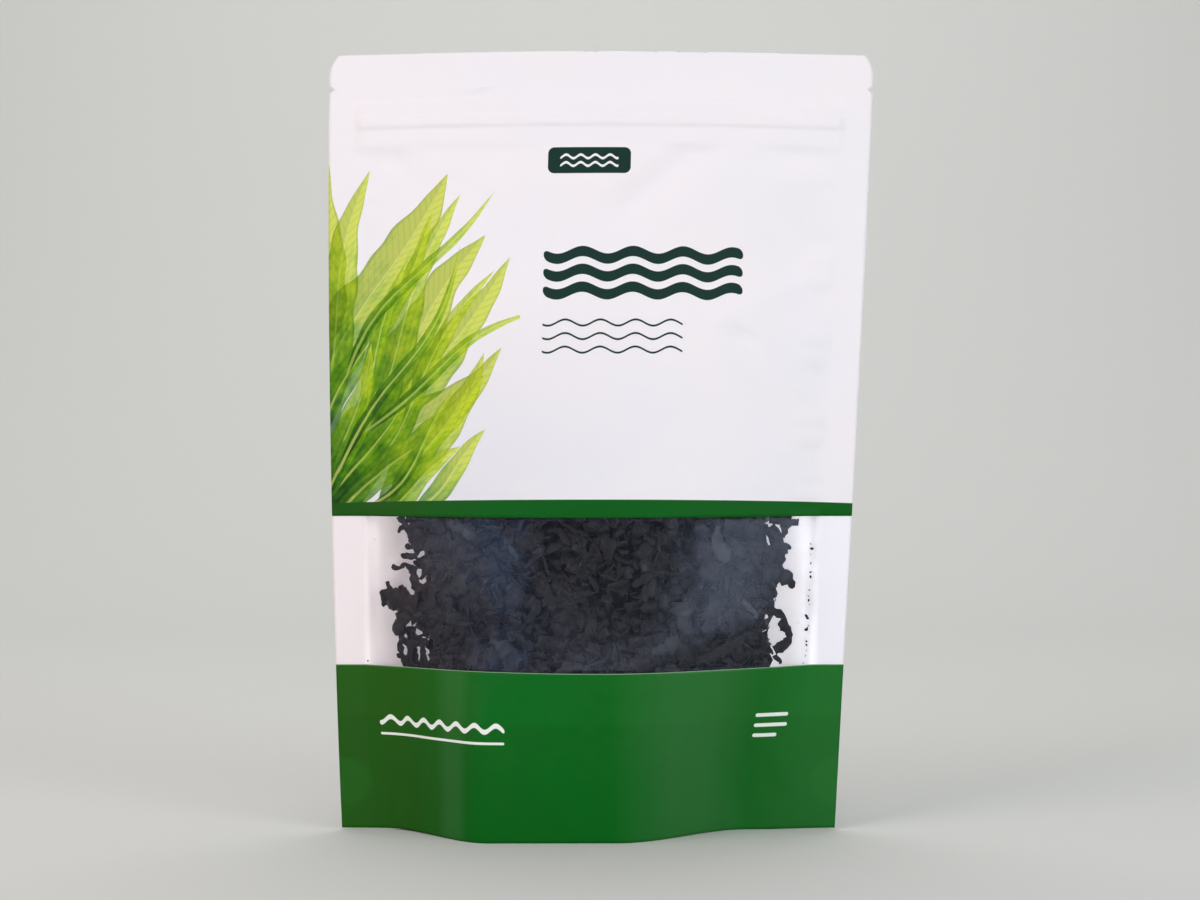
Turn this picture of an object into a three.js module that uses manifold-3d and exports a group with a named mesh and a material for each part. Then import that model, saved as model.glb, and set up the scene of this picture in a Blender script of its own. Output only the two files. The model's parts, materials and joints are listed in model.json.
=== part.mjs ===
import * as THREE from "three";
import { mergeVertices } from "three/addons/utils/BufferGeometryUtils.js";
import Module from "manifold-3d";

const wasm = await Module();
wasm.setup();

// A filled, sealed stand-up pouch with a zip, a clear window and a bottom gusset.
// Millimetres, +Z up, the printed front towards -Y. The origin lies on the surface it stands on.

// Pouch outline, edge to edge over the side seals
const pouchHeight = 257;
const baseHalfWidth = 81.8;
const topHalfWidth = 90.4;
const widening = 1.45; // how the width grows from base to top as the panels flatten
const topCentre = 0.35; // brings the middle of the whole outline over the origin
const leanAtBase = -4.5; // the pouch stands a little askew, so its foot sits to the left
const leanPower = 1.5;
const sealWidth = 10;
const cornerRadius = 10.4;
const cornerDrop = 7.5; // the corner arc leaves the side edge this far below the top
const notchHeight = 2.5;
const notchDepth = 1.8;
const notchLevel = 245.6;

// How far the panels stand out, as [height, half depth at the middle]
const fullness = [
  [0, 25.2], [25, 28.6], [52, 30], [80, 26.6], [106, 21], [132, 16.2],
  [160, 11], [190, 6.4], [212, 3], [226, 1], [242, 0.4], [257, 0],
];
const lensPower = 1.1; // section of a panel above the gusset
const footEnds = 70; // above this height nothing of the foot's S-shaped section is left
const frontFoot = { left: [-36, -71], right: [5, 49] }; // full depth here, flat panel from there
const backFoot = { left: [-24, -66], right: [18, 60] };
const rimLift = 0.6; // the lower corners hang just clear of the surface
const rimLiftFrom = 45;
const topBow = 7; // the flat top bows forward
const bowFrom = 105;
const bowTo = 235;

// Printed areas of the front film
const windowBottom = 54.8;
const windowTop = 104.1;
const bandTopAtSide = 108.4;
const bandTopInMiddle = 110;

// Films and the gaps between them
const film = 0.5;
const gap = 0.3;
const gussetFilm = 0.4;
const fineness = 0.04; // corners closer to a straight run than this are dropped after a cut
const skirtGap = 0.95; // gusset skirt to panel, where the panel stands out
const skirtEase = 0.3; // that gap opens at this share of the panel's depth

// Gusset
const gussetHeight = 38;
const gussetFades = 46; // the panels have closed up again here
const skirtHeight = 7; // weld along the middle of the rim
const skirtRises = [36, 78];
const foldRises = [30, 66];
const flatShare = 0.64; // the membrane is flat from here to its middle line
const steepShare = 0.8; // and this much thicker, upright, where it climbs to the side folds
const eyeRadius = 8.7;
const eyeLevel = 15.7;

// Zip
const zipBottom = 227.6;
const zipTop = 239.8;
const zipLine = 233.4;
const zipFlange = 0.4;
const flangeFace = 0.85; // inner face of each flange, from the middle plane
const zipRamp = 1.7; // the film steps over the flange in this height
const zipEndClearance = 0.6;

// Filling
const fillHeight = 137;
const fillDrop = 15; // the heap is this much lower at its ends
const fillFrom = -66;
const fillTo = 60;
const coreInset = 2.9;
const fillInset = 0.9;
const coreRoughness = 0.9;
const flakeThickness = 0.9;
const flakeSeed = 20517;

const smooth = (from, to, x) => THREE.MathUtils.smoothstep(x, Math.min(from, to), Math.max(from, to));
const fall = (from, to, x) => (from < to ? 1 - smooth(from, to, x) : smooth(to, from, x));

function through(points, x) {
  const last = points.length - 1;
  const slope = (i) => {
    const a = points[Math.max(i - 1, 0)];
    const b = points[Math.min(i + 1, last)];
    return (b[1] - a[1]) / (b[0] - a[0]);
  };
  let i = 0;
  while (i < last - 1 && x > points[i + 1][0]) i += 1;
  const [x0, y0] = points[i];
  const [x1, y1] = points[i + 1];
  const h = x1 - x0;
  const t = THREE.MathUtils.clamp((x - x0) / h, 0, 1);
  const rise = y1 - y0;
  const a = slope(i) * h - rise;
  const b = rise - slope(i + 1) * h;
  return y0 + rise * t + t * (1 - t) * (a * (1 - t) + b * t);
}

// Outline
const share = (z) => THREE.MathUtils.clamp(z / pouchHeight, 0, 1);
const centre = (z) => topCentre + leanAtBase * (1 - share(z) ** leanPower);
const halfWidth = (z) => topHalfWidth - (topHalfWidth - baseHalfWidth) * (1 - share(z)) ** widening;
const insideWidth = (z) => halfWidth(z) - sealWidth;

function cutEdge(z) {
  const rise = z - (pouchHeight - cornerDrop);
  const corner = rise > 0 ? cornerRadius - Math.sqrt(cornerRadius ** 2 - rise ** 2) : 0;
  const notch = notchDepth * Math.max(0, 1 - Math.abs(z - notchLevel) / (notchHeight / 2));
  return halfWidth(z) - corner - notch;
}

// Panels
function panelDepth(x, z, foot) {
  const s = Math.min(Math.abs(x - centre(z)) / insideWidth(z), 1);
  const lens = (1 - s * s) ** lensPower;
  const step = Math.min(fall(...foot.right, x), fall(...foot.left, x));
  const footShare = 1 - smooth(0, footEnds, z);
  return through(fullness, z) * (footShare * step + (1 - footShare) * lens);
}

function bow(x, z) {
  const s = (x - centre(z)) / halfWidth(z);
  return -topBow * smooth(bowFrom, bowTo, z) * Math.max(0, 1 - s * s);
}

function halfGap(x, z) {
  const overGusset = (gap / 2 + gussetFilm + gap) * (1 - smooth(gussetHeight, gussetFades, z));
  const nearZip = smooth(zipBottom - gap - zipRamp, zipBottom - gap, z) - smooth(zipTop + gap, zipTop + gap + zipRamp, z);
  const inZip = Math.abs(x - centre(z)) < insideWidth(z) + gap ? nearZip : 0;
  const overZip = (flangeFace + zipFlange + gap) * inZip;
  return Math.max(gap / 2, overGusset, overZip);
}

const frontInner = (x, z) => bow(x, z) - halfGap(x, z) - panelDepth(x, z, frontFoot);
const backInner = (x, z) => bow(x, z) + halfGap(x, z) + panelDepth(x, z, backFoot);

function slant(face, x, z) {
  const dx = face(x + 0.5, z) - face(x - 0.5, z);
  const dz = face(x, z + 0.5) - face(x, z - 0.5);
  return Math.sqrt(1 + Math.min(dx * dx + dz * dz, 4));
}

const frontOuter = (x, z) => frontInner(x, z) - film * slant(frontInner, x, z);
const backOuter = (x, z) => backInner(x, z) + film * slant(backInner, x, z);
const rimLevel = (x, z) => z + (z < 1 ? rimLift * smooth(rimLiftFrom, baseHalfWidth, Math.abs(x)) : 0);

// Columns of the panels: fractions of the inside width, then the seal's middle and its cut edge
const inside = [0, 0.12, 0.25, 0.38, 0.5, 0.62, 0.74, 0.86, 1];
const columns = [
  { side: -1, seal: 1 }, { side: -1, seal: 0.5 },
  ...inside.slice(1).reverse().map((s) => ({ side: -1, s })),
  ...inside.map((s) => ({ side: 1, s })),
  { side: 1, seal: 0.5 }, { side: 1, seal: 1 },
];

function columnX(column, z) {
  if (column.seal === 1) return centre(z) + column.side * cutEdge(z);
  if (column.seal) return centre(z) + column.side * (insideWidth(z) + sealWidth * column.seal);
  return centre(z) + column.side * column.s * insideWidth(z);
}

// Closed solids from grids of points
function closedSheet(outer, inner) {
  const rows = outer.length;
  const across = outer[0].length;
  const points = [...outer.flat(), ...inner.flat()];
  const at = (face, i, j) => face * rows * across + i * across + j;
  const triangles = [];
  const quad = (a, b, c, d) => triangles.push(a, b, c, a, c, d);
  for (let i = 0; i < rows - 1; i += 1) {
    for (let j = 0; j < across - 1; j += 1) {
      quad(at(0, i, j), at(0, i, j + 1), at(0, i + 1, j + 1), at(0, i + 1, j));
      triangles.push(at(1, i, j), at(1, i + 1, j + 1), at(1, i, j + 1));
      triangles.push(at(1, i, j), at(1, i + 1, j), at(1, i + 1, j + 1));
    }
  }
  for (let j = 0; j < across - 1; j += 1) {
    quad(at(1, 0, j), at(1, 0, j + 1), at(0, 0, j + 1), at(0, 0, j));
    quad(at(0, rows - 1, j), at(0, rows - 1, j + 1), at(1, rows - 1, j + 1), at(1, rows - 1, j));
  }
  for (let i = 0; i < rows - 1; i += 1) {
    quad(at(0, i, 0), at(0, i + 1, 0), at(1, i + 1, 0), at(1, i, 0));
    quad(at(1, i, across - 1), at(1, i + 1, across - 1), at(0, i + 1, across - 1), at(0, i, across - 1));
  }
  return solidGeometry(points, triangles);
}

function loft(rings) {
  const n = rings[0].length;
  const points = rings.flat();
  const triangles = [];
  for (let i = 0; i < rings.length - 1; i += 1) {
    for (let j = 0; j < n; j += 1) {
      const a = i * n + j;
      const b = i * n + ((j + 1) % n);
      triangles.push(a, b, b + n, a, b + n, a + n);
    }
  }
  for (const [ring, first, turned] of [[rings[0], 0, false], [rings.at(-1), (rings.length - 1) * n, true]]) {
    const flat = ring.map((p) => new THREE.Vector2(p[1], p[2]));
    for (const [a, b, c] of THREE.ShapeUtils.triangulateShape(flat, [])) {
      triangles.push(...(turned ? [first + a, first + b, first + c] : [first + a, first + c, first + b]));
    }
  }
  return solidGeometry(points, triangles);
}

function solidGeometry(points, triangles) {
  const geometry = new THREE.BufferGeometry();
  geometry.setAttribute("position", new THREE.Float32BufferAttribute(points.flat(), 3));
  geometry.setIndex(triangles);
  return geometry;
}

function toSolid(geometry) {
  const plain = geometry.clone();
  plain.deleteAttribute("normal");
  plain.deleteAttribute("uv");
  const merged = mergeVertices(plain);
  const vertProperties = new Float32Array(merged.attributes.position.array);
  const triVerts = new Uint32Array(merged.index.array);
  return new wasm.Manifold(new wasm.Mesh({ numProp: 3, vertProperties, triVerts }));
}

function toGeometry(solid) {
  const { vertProperties, triVerts } = solid.getMesh();
  const geometry = new THREE.BufferGeometry();
  geometry.setAttribute("position", new THREE.BufferAttribute(vertProperties, 3));
  geometry.setIndex(new THREE.BufferAttribute(triVerts, 1));
  return geometry;
}

// Panels of film
function panel(levels, innerFace, outerFace, turned) {
  const grid = (face) => levels.map((level) => columns.map((column) => {
    const x = columnX(column, level(0));
    const z = rimLevel(x, level((x - centre(level(0))) / halfWidth(level(0))));
    return [x, face(x, z), z];
  }));
  const outer = grid(outerFace);
  const inner = grid(innerFace);
  return turned ? closedSheet(inner, outer) : closedSheet(outer, inner);
}

const level = (z) => () => z;
const bandTop = (s) => bandTopAtSide + (bandTopInMiddle - bandTopAtSide) * (1 - s * s);
const upperLevels = [
  122, 134, 147, 161, 176, 190, 203, 214, zipBottom - gap - zipRamp, zipBottom - gap, zipTop + gap,
  zipTop + gap + zipRamp, notchLevel - notchHeight / 2, notchLevel, notchLevel + notchHeight / 2,
  pouchHeight - cornerDrop, 253, 255.4, pouchHeight,
].map(level);
const halfSlit = gap / 2; // the printed areas are kept this far clear of their common line

const frontWhite = () => panel([(s) => bandTop(s) + halfSlit, ...upperLevels], frontInner, frontOuter);
const frontBand = () => panel([level(windowTop + halfSlit), (s) => bandTop(s) - halfSlit], frontInner, frontOuter);
const frontWindow = () => panel(
  [windowBottom + halfSlit, 66, 79, 92, windowTop - halfSlit].map(level), frontInner, frontOuter);
const frontGreen = () => panel(
  [0, 7, 15, 24, gussetHeight, gussetFades, windowBottom - halfSlit].map(level), frontInner, frontOuter);
const backFilm = () => panel(
  [...[0, 7, 15, 24, gussetHeight, gussetFades, 55, 70, 88, 106].map(level), ...upperLevels],
  backInner, backOuter, true);

// Gusset: skirts along both panels, and a membrane that sinks from the side folds to the surface
function skirtTop(x) {
  const reach = Math.abs(x - centre(0));
  return skirtHeight + (gussetHeight - skirtHeight) * smooth(...skirtRises, reach);
}

function foldLevel(x) {
  return skirtTop(x) * smooth(...foldRises, Math.abs(x - centre(0)));
}

function gussetSection(column) {
  const x = columnX(column, 0);
  const top = skirtTop(x);
  const fold = foldLevel(x);
  const rim = rimLevel(x, 0);
  const climb = smooth(...foldRises, Math.abs(x - centre(0)));
  const settled = THREE.MathUtils.lerp(flatShare, 1, climb);
  const upright = 1 + steepShare * 4 * climb * (1 - climb);
  const skirt = (side, depth, z) => {
    const px = columnX(column, z);
    const bulge = panelDepth(px, z, side < 0 ? frontFoot : backFoot);
    const clear = gap + Math.min(skirtGap - gap, bulge * skirtEase);
    return [px, side * (halfGap(px, z) + bulge - clear - depth), z];
  };
  const path = (side, depth) => {
    const under = depth * upright;
    const edge = [0, 0.5, 1].map((t) => skirt(side, depth, THREE.MathUtils.lerp(rim, top - under, t)));
    const start = skirt(side, 0, top)[1];
    const middle = (skirt(-1, depth, top)[1] + skirt(1, depth, top)[1]) / 2;
    const membrane = [0.2, 0.42, flatShare, 0.82, 1].map((q) => {
      const sink = 1 - smooth(0, settled, q);
      const z = THREE.MathUtils.lerp(fold + gussetFilm, top, sink) - under;
      const narrow = 1 - smooth(gussetFilm, 1.8 * gussetFilm, Math.abs(middle - start) * q);
      const from = THREE.MathUtils.lerp(start, edge[2][1], narrow);
      return [columnX(column, z), THREE.MathUtils.lerp(from, middle, q), z];
    });
    return [...edge, ...membrane];
  };
  const whole = (depth) => [...path(-1, depth), ...path(1, depth).slice(0, -1).reverse()];
  return { upper: whole(0), lower: whole(gussetFilm) };
}

function bottomGusset() {
  const sections = columns.map(gussetSection);
  const rows = sections[0].upper.length;
  const grid = (face) => Array.from({ length: rows }, (_, i) => sections.map((section) => section[face][i]));
  let solid = toSolid(closedSheet(grid("upper"), grid("lower")));
  for (const side of [-1, 1]) {
    const eye = new THREE.CylinderGeometry(eyeRadius, eyeRadius, 8, 24);
    eye.translate(centre(0) + side * halfWidth(eyeLevel), 0, -eyeLevel);
    eye.rotateX(Math.PI);
    solid = solid.subtract(toSolid(eye));
  }
  return toGeometry(solid.simplify(fineness));
}

// Zip profiles, as [distance from the middle plane, height from the zip line]
const jawSection = [
  [-flangeFace - zipFlange, zipBottom - zipLine], [-flangeFace, zipBottom - zipLine],
  [-flangeFace, -1.65], [0.45, -1.65], [0.45, -0.65], [0.1, -0.65], [0.1, -1.05], [-flangeFace, -1.05],
  [-flangeFace, 1.05], [0.1, 1.05], [0.1, 0.65], [0.45, 0.65], [0.45, 1.65], [-flangeFace, 1.65],
  [-flangeFace, zipTop - zipLine], [-flangeFace - zipFlange, zipTop - zipLine],
];
const arrowSection = [
  [flangeFace + zipFlange, zipTop - zipLine], [flangeFace, zipTop - zipLine],
  [flangeFace, 0.3], [-0.2, 0.3], [-0.2, 0.75], [-0.55, 0.35], [-0.55, -0.35], [-0.2, -0.75],
  [-0.2, -0.3], [flangeFace, -0.3], [flangeFace, zipBottom - zipLine],
  [flangeFace + zipFlange, zipBottom - zipLine],
];

function zipStrip(section) {
  const reach = insideWidth(zipLine) - zipEndClearance;
  const stations = 14;
  const rings = Array.from({ length: stations + 1 }, (_, i) => {
    const x = centre(zipLine) + THREE.MathUtils.lerp(-reach, reach, i / stations);
    return section.map(([y, z]) => [x, y + bow(x, zipLine + z), zipLine + z]);
  });
  return loft(rings);
}

// Filling: a heap between the panels, rough core first, then the flakes that cover it
function randomFrom(seed) {
  let state = seed >>> 0;
  return () => {
    state = (state + 0x6d2b79f5) >>> 0;
    let t = Math.imul(state ^ (state >>> 15), 1 | state);
    t = (t + Math.imul(t ^ (t >>> 7), 61 | t)) ^ t;
    return ((t ^ (t >>> 14)) >>> 0) / 4294967296;
  };
}

const random = randomFrom(flakeSeed);
const between = (low, high) => low + (high - low) * random();

function heapTop(x) {
  const s = (2 * x - fillFrom - fillTo) / (fillTo - fillFrom);
  return fillHeight - fillDrop * s * s;
}

const heapFloor = (x) => Math.max(skirtTop(x), foldLevel(x)) + fillInset + gussetFilm;
const heapMiddle = (x, z) => (frontInner(x, z) + backInner(x, z)) / 2;

function heapFace(x, z, side, inset) {
  const room = Math.max((backInner(x, z) - frontInner(x, z)) / 2 - inset, gap / 2);
  return heapMiddle(x, z) + side * room;
}

function heapLoft(from, to, inset, stations, layers, roughness) {
  const rings = Array.from({ length: stations + 1 }, (_, i) => {
    const x = THREE.MathUtils.lerp(from, to, i / stations);
    const low = heapFloor(x) + (inset - fillInset);
    const high = heapTop(x) - (inset - fillInset) * 0.6;
    const ring = (side) => Array.from({ length: layers + 1 }, (__, k) => {
      const z = THREE.MathUtils.lerp(low, high, k / layers);
      return [x, heapFace(x, z, side, inset + between(-roughness, roughness)), z];
    });
    const bottom = [x, heapMiddle(x, low), Math.max(foldLevel(x) + gussetFilm + inset, low - 6)];
    const crest = [x, heapMiddle(x, high), high + 1.5 + between(-roughness, roughness)];
    return [...ring(1).reverse(), bottom, ...ring(-1), crest].reverse();
  });
  return toSolid(loft(rings));
}

// A flake is a small crumpled shard, bent across its middle and twisted along its length
function flake({ at, out, turn, length, width, tilt, bend, twist }) {
  const along = new THREE.Vector3(Math.abs(out.z) > 0.8 ? 1 : 0, 0, Math.abs(out.z) > 0.8 ? 0 : 1);
  along.cross(out).normalize().applyAxisAngle(out, turn);
  const across = new THREE.Vector3().crossVectors(out, along);
  along.applyAxisAngle(across, tilt);
  const up = new THREE.Vector3().crossVectors(along, across);
  const widths = [between(0.3, 0.6), 1, between(0.35, 0.75)];
  const rings = [-0.5, between(-0.12, 0.12), 0.5].map((l, i) => {
    const spin = twist * l;
    const wide = across.clone().applyAxisAngle(along, spin).multiplyScalar((width * widths[i]) / 2);
    const thick = up.clone().applyAxisAngle(along, spin).multiplyScalar(flakeThickness / 2);
    const middle = at.clone().addScaledVector(along, l * length).addScaledVector(up, i === 1 ? bend : 0);
    const corner = (a, b) => middle.clone().addScaledVector(wide, a).addScaledVector(thick, b).toArray();
    return [corner(-1, -1), corner(1, -1), corner(1, 1), corner(-1, 1)];
  });
  const n = 4;
  const triangles = [0, 2, 1, 0, 3, 2];
  for (let i = 0; i < 2; i += 1) {
    for (let j = 0; j < n; j += 1) {
      const a = i * n + j;
      const b = i * n + ((j + 1) % n);
      if (j === 2) triangles.push(a, b, a + n, b, b + n, a + n);
      else triangles.push(a, b, b + n, a, b + n, a + n);
    }
  }
  triangles.push(8, 9, 10, 8, 10, 11);
  return toSolid(solidGeometry(rings.flat(), triangles));
}

function flakesOnPanel(side, levels, perRow, size, spread) {
  const flakes = [];
  levels.forEach((z0, row) => {
    for (let i = 0; i < perRow; i += 1) {
      const t = (i + 0.5 + (row % 2 ? 0.25 : -0.25) + between(-0.2, 0.2)) / perRow;
      const x = THREE.MathUtils.lerp(fillFrom + 3, fillTo - 3, t);
      const z = z0 + between(-spread, spread);
      if (z > heapTop(x) - 2 || z < heapFloor(x) + 3) continue;
      const y = heapFace(x, z, side, coreInset - 0.9);
      const slope = (heapFace(x + 1, z, side, coreInset) - heapFace(x - 1, z, side, coreInset)) / 2;
      const rise = (heapFace(x, z + 1, side, coreInset) - heapFace(x, z - 1, side, coreInset)) / 2;
      const out = new THREE.Vector3(-side * slope, side, -side * rise).normalize();
      flakes.push(flake({
        at: new THREE.Vector3(x, y, z), out, turn: between(0, Math.PI), length: size * between(0.8, 1.25),
        width: size * between(0.45, 0.7), tilt: between(-0.16, 0.16), bend: between(-0.6, 0.9),
        twist: between(-0.7, 0.7),
      }));
    }
  });
  return flakes;
}

function flakesOnTop(rows, perRow) {
  const flakes = [];
  for (let row = 0; row < rows; row += 1) {
    for (let i = 0; i < perRow; i += 1) {
      const x = THREE.MathUtils.lerp(fillFrom + 6, fillTo - 6, (i + 0.5 + between(-0.3, 0.3)) / perRow);
      const z = heapTop(x) - 1.5;
      const reach = (row + 0.5 + between(-0.2, 0.2)) / rows;
      const y = THREE.MathUtils.lerp(heapFace(x, z, -1, 5), heapFace(x, z, 1, 5), reach);
      const out = new THREE.Vector3(between(-0.4, 0.4), between(-0.3, 0.3), 1).normalize();
      flakes.push(flake({
        at: new THREE.Vector3(x, y, z), out, turn: between(0, Math.PI), length: between(13, 19),
        width: between(6, 9), tilt: between(-0.5, 0.5), bend: between(-1.5, 1.5), twist: between(-1, 1),
      }));
    }
  }
  return flakes;
}

function flakesAtEnds(perEnd) {
  const flakes = [];
  for (const [end, side] of [[fillFrom, -1], [fillTo, 1]]) {
    for (let i = 0; i < perEnd; i += 1) {
      const z = THREE.MathUtils.lerp(50, heapTop(end) - 6, (i + between(0.2, 0.8)) / perEnd);
      const x = end + side * between(-5, 2);
      const at = new THREE.Vector3(x, heapMiddle(x, z) + between(-1.5, 1.5), z);
      flakes.push(flake({
        at, out: new THREE.Vector3(0, -1, 0), turn: between(-0.9, 0.9), length: between(12, 18),
        width: between(4, 7), tilt: between(-0.2, 0.2), bend: between(-0.8, 0.8), twist: between(-0.8, 0.8),
      }));
    }
  }
  return flakes;
}

function wakameFlakes() {
  const core = heapLoft(fillFrom + 3, fillTo - 3, coreInset, 11, 8, coreRoughness);
  const room = heapLoft(fillFrom - 8, fillTo + 8, fillInset, 28, 16, 0);
  const flakes = [
    ...flakesOnPanel(-1, [57, 66, 75, 84, 93, 102], 10, 14, 2),
    ...flakesOnPanel(-1, [18, 32, 46, 113, 125], 6, 17, 3),
    ...flakesOnPanel(1, [20, 38, 56, 74, 92, 110], 6, 18, 3),
    ...flakesOnTop(2, 8),
    ...flakesAtEnds(6),
  ];
  const heap = wasm.Manifold.union([core, ...flakes]).intersect(room).simplify(2 * fineness);
  const bodies = heap.decompose().sort((a, b) => b.volume() - a.volume());
  return toGeometry(bodies[0]);
}

// Materials
const whiteFilm = { color: 0xf0ecef, roughness: 0.5, metalness: 0 };
const greenFilm = { color: 0x1b5f22, roughness: 0.42, metalness: 0 };
const clearFilm = { color: 0xe6e8ee, roughness: 0.15, metalness: 0, transparent: true, opacity: 0.3 };
const zipPlastic = { color: 0xe9e8ea, roughness: 0.35, metalness: 0 };
const driedWakame = { color: 0x22252a, roughness: 0.6, metalness: 0 };

const pieces = [
  ["front_film_white", frontWhite(), whiteFilm],
  ["front_film_band", frontBand(), greenFilm],
  ["front_film_window", frontWindow(), clearFilm],
  ["front_film_green", frontGreen(), greenFilm],
  ["back_film", backFilm(), whiteFilm],
  ["bottom_gusset", bottomGusset(), greenFilm],
  ["zip_front", zipStrip(jawSection), zipPlastic],
  ["zip_back", zipStrip(arrowSection), zipPlastic],
  ["wakame_flakes", wakameFlakes(), driedWakame],
];

const pouch = new THREE.Group();
for (const [name, geometry, finish] of pieces) {
  const mesh = new THREE.Mesh(geometry, new THREE.MeshStandardMaterial(finish));
  mesh.name = name;
  pouch.add(mesh);
}

export default pouch;
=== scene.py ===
import json
import math
from functools import partial

import bpy
import numpy as np
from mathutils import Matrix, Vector

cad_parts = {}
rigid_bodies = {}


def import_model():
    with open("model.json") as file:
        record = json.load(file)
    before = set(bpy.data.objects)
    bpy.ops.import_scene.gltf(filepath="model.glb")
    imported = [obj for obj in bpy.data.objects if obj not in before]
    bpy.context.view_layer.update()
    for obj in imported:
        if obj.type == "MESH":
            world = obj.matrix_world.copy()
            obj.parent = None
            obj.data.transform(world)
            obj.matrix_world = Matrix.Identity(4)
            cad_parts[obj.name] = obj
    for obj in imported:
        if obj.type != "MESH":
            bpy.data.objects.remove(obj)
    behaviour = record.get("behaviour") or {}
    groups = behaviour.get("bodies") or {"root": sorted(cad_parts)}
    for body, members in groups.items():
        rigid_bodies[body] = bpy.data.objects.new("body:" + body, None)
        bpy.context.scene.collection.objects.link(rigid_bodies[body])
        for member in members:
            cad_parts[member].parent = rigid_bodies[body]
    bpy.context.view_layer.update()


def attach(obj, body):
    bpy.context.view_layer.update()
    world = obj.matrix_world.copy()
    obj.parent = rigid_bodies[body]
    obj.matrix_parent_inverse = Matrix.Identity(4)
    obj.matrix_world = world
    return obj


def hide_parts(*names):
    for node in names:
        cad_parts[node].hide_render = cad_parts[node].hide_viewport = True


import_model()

mm = 0.001

# The pouch's outline and fullness in millimetres, as in the solids
pouch = {
    "height": 257.0, "topHalf": 90.4, "baseHalf": 81.8, "widening": 1.45,
    "topCentre": 0.35, "lean": -4.5, "leanPower": 1.5, "seal": 10.0,
    "cornerRadius": 10.4, "cornerDrop": 7.5, "notchHeight": 2.5, "notchDepth": 1.8, "notchLevel": 245.6,
    "fullness": [(0, 25.2), (25, 28.6), (52, 30), (80, 26.6), (106, 21), (132, 16.2), (160, 11),
                 (190, 6.4), (212, 3), (226, 1), (242, 0.4), (257, 0)],
    "lens": 1.1, "footEnds": 70.0, "frontFoot": (-36, -71, 5, 49), "backFoot": (-24, -66, 18, 60),
    "rimLift": 0.6, "rimLiftFrom": 45.0, "bow": 7.0, "bowFrom": 105.0, "bowTo": 235.0,
    "topArch": 0.9, "archFrom": 150.0,
}
printLines = {"windowBottom": 54.8, "windowTop": 104.1, "bandSide": 108.4, "bandMiddle": 110.0,
              "bandReach": 88.0}
filmSheet = {"thickness": 0.13, "clear": 0.1, "step": 1.05, "rows": 1.1, "inSeal": 0.02}
gusset = {
    "height": 38.0, "fades": 46.0, "skirt": 7.0, "skirtRises": (36, 78), "foldRises": (30, 66), "flat": 0.64,
    "eye": 7.6, "eyeLevel": 16.1, "eyeSide": 89.7, "wall": 0.1, "tuck": 0.17, "apart": 0.07, "rim": 0.05,
}
zipLock = {
    "bottom": 227.3, "top": 240.0, "line": 233.7, "half": 0.5, "ridge": 0.8, "rampBelow": 4.0,
    "rampAbove": 1.6,
    "width": 1.7, "intoSeal": (-1.2, 0.8), "flat": 0.12, "endGap": 0.4,
}


def smooth(low, high, x):
    t = np.clip((np.asarray(x, float) - low) / (high - low), 0, 1)
    return t * t * (3 - 2 * t)


def mix(a, b, t):
    return a + (b - a) * t


def curveThrough(points, x):
    px, py = (np.array(v, float) for v in zip(*points))
    slopes = np.empty_like(py)
    slopes[1:-1] = (py[2:] - py[:-2]) / (px[2:] - px[:-2])
    slopes[0], slopes[-1] = (py[1] - py[0]) / (px[1] - px[0]), (py[-1] - py[-2]) / (px[-1] - px[-2])
    x = np.clip(np.asarray(x, float), px[0], px[-1])
    i = np.clip(np.searchsorted(px, x) - 1, 0, len(px) - 2)
    h = px[i + 1] - px[i]
    t = (x - px[i]) / h
    rise = py[i + 1] - py[i]
    a, b = slopes[i] * h - rise, rise - slopes[i + 1] * h
    return py[i] + rise * t + t * (1 - t) * (a * (1 - t) + b * t)


def share(z):
    return np.clip(np.asarray(z, float) / pouch["height"], 0, 1)


def centreAt(z):
    return pouch["topCentre"] + pouch["lean"] * (1 - share(z) ** pouch["leanPower"])


def halfWidthAt(z):
    return pouch["topHalf"] - (pouch["topHalf"] - pouch["baseHalf"]) * (1 - share(z)) ** pouch["widening"]


def cutEdgeAt(z):
    rise = np.maximum(z - (pouch["height"] - pouch["cornerDrop"]), 0)
    corner = pouch["cornerRadius"] - np.sqrt(pouch["cornerRadius"] ** 2 - rise ** 2)
    notch = np.maximum(0, 1 - np.abs(z - pouch["notchLevel"]) / (pouch["notchHeight"] / 2)) * pouch["notchDepth"]
    return halfWidthAt(z) - corner - notch


def panelDepth(x, z, foot):
    s = np.minimum(np.abs(x - centreAt(z)) / (halfWidthAt(z) - pouch["seal"]), 1)
    lens = (1 - s * s) ** pouch["lens"]
    step = np.minimum(smooth(foot[1], foot[0], x), 1 - smooth(foot[2], foot[3], x))
    footShare = 1 - smooth(0, pouch["footEnds"], z)
    return curveThrough(pouch["fullness"], z) * (footShare * step + (1 - footShare) * lens)


def bowAt(x, z):
    s = (x - centreAt(z)) / halfWidthAt(z)
    return -pouch["bow"] * smooth(pouch["bowFrom"], pouch["bowTo"], z) * np.maximum(0, 1 - s * s)


# How far a place lies inside the side seals
def insideSeal(x, z):
    return halfWidthAt(z) - pouch["seal"] - np.abs(x - centreAt(z))


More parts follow.
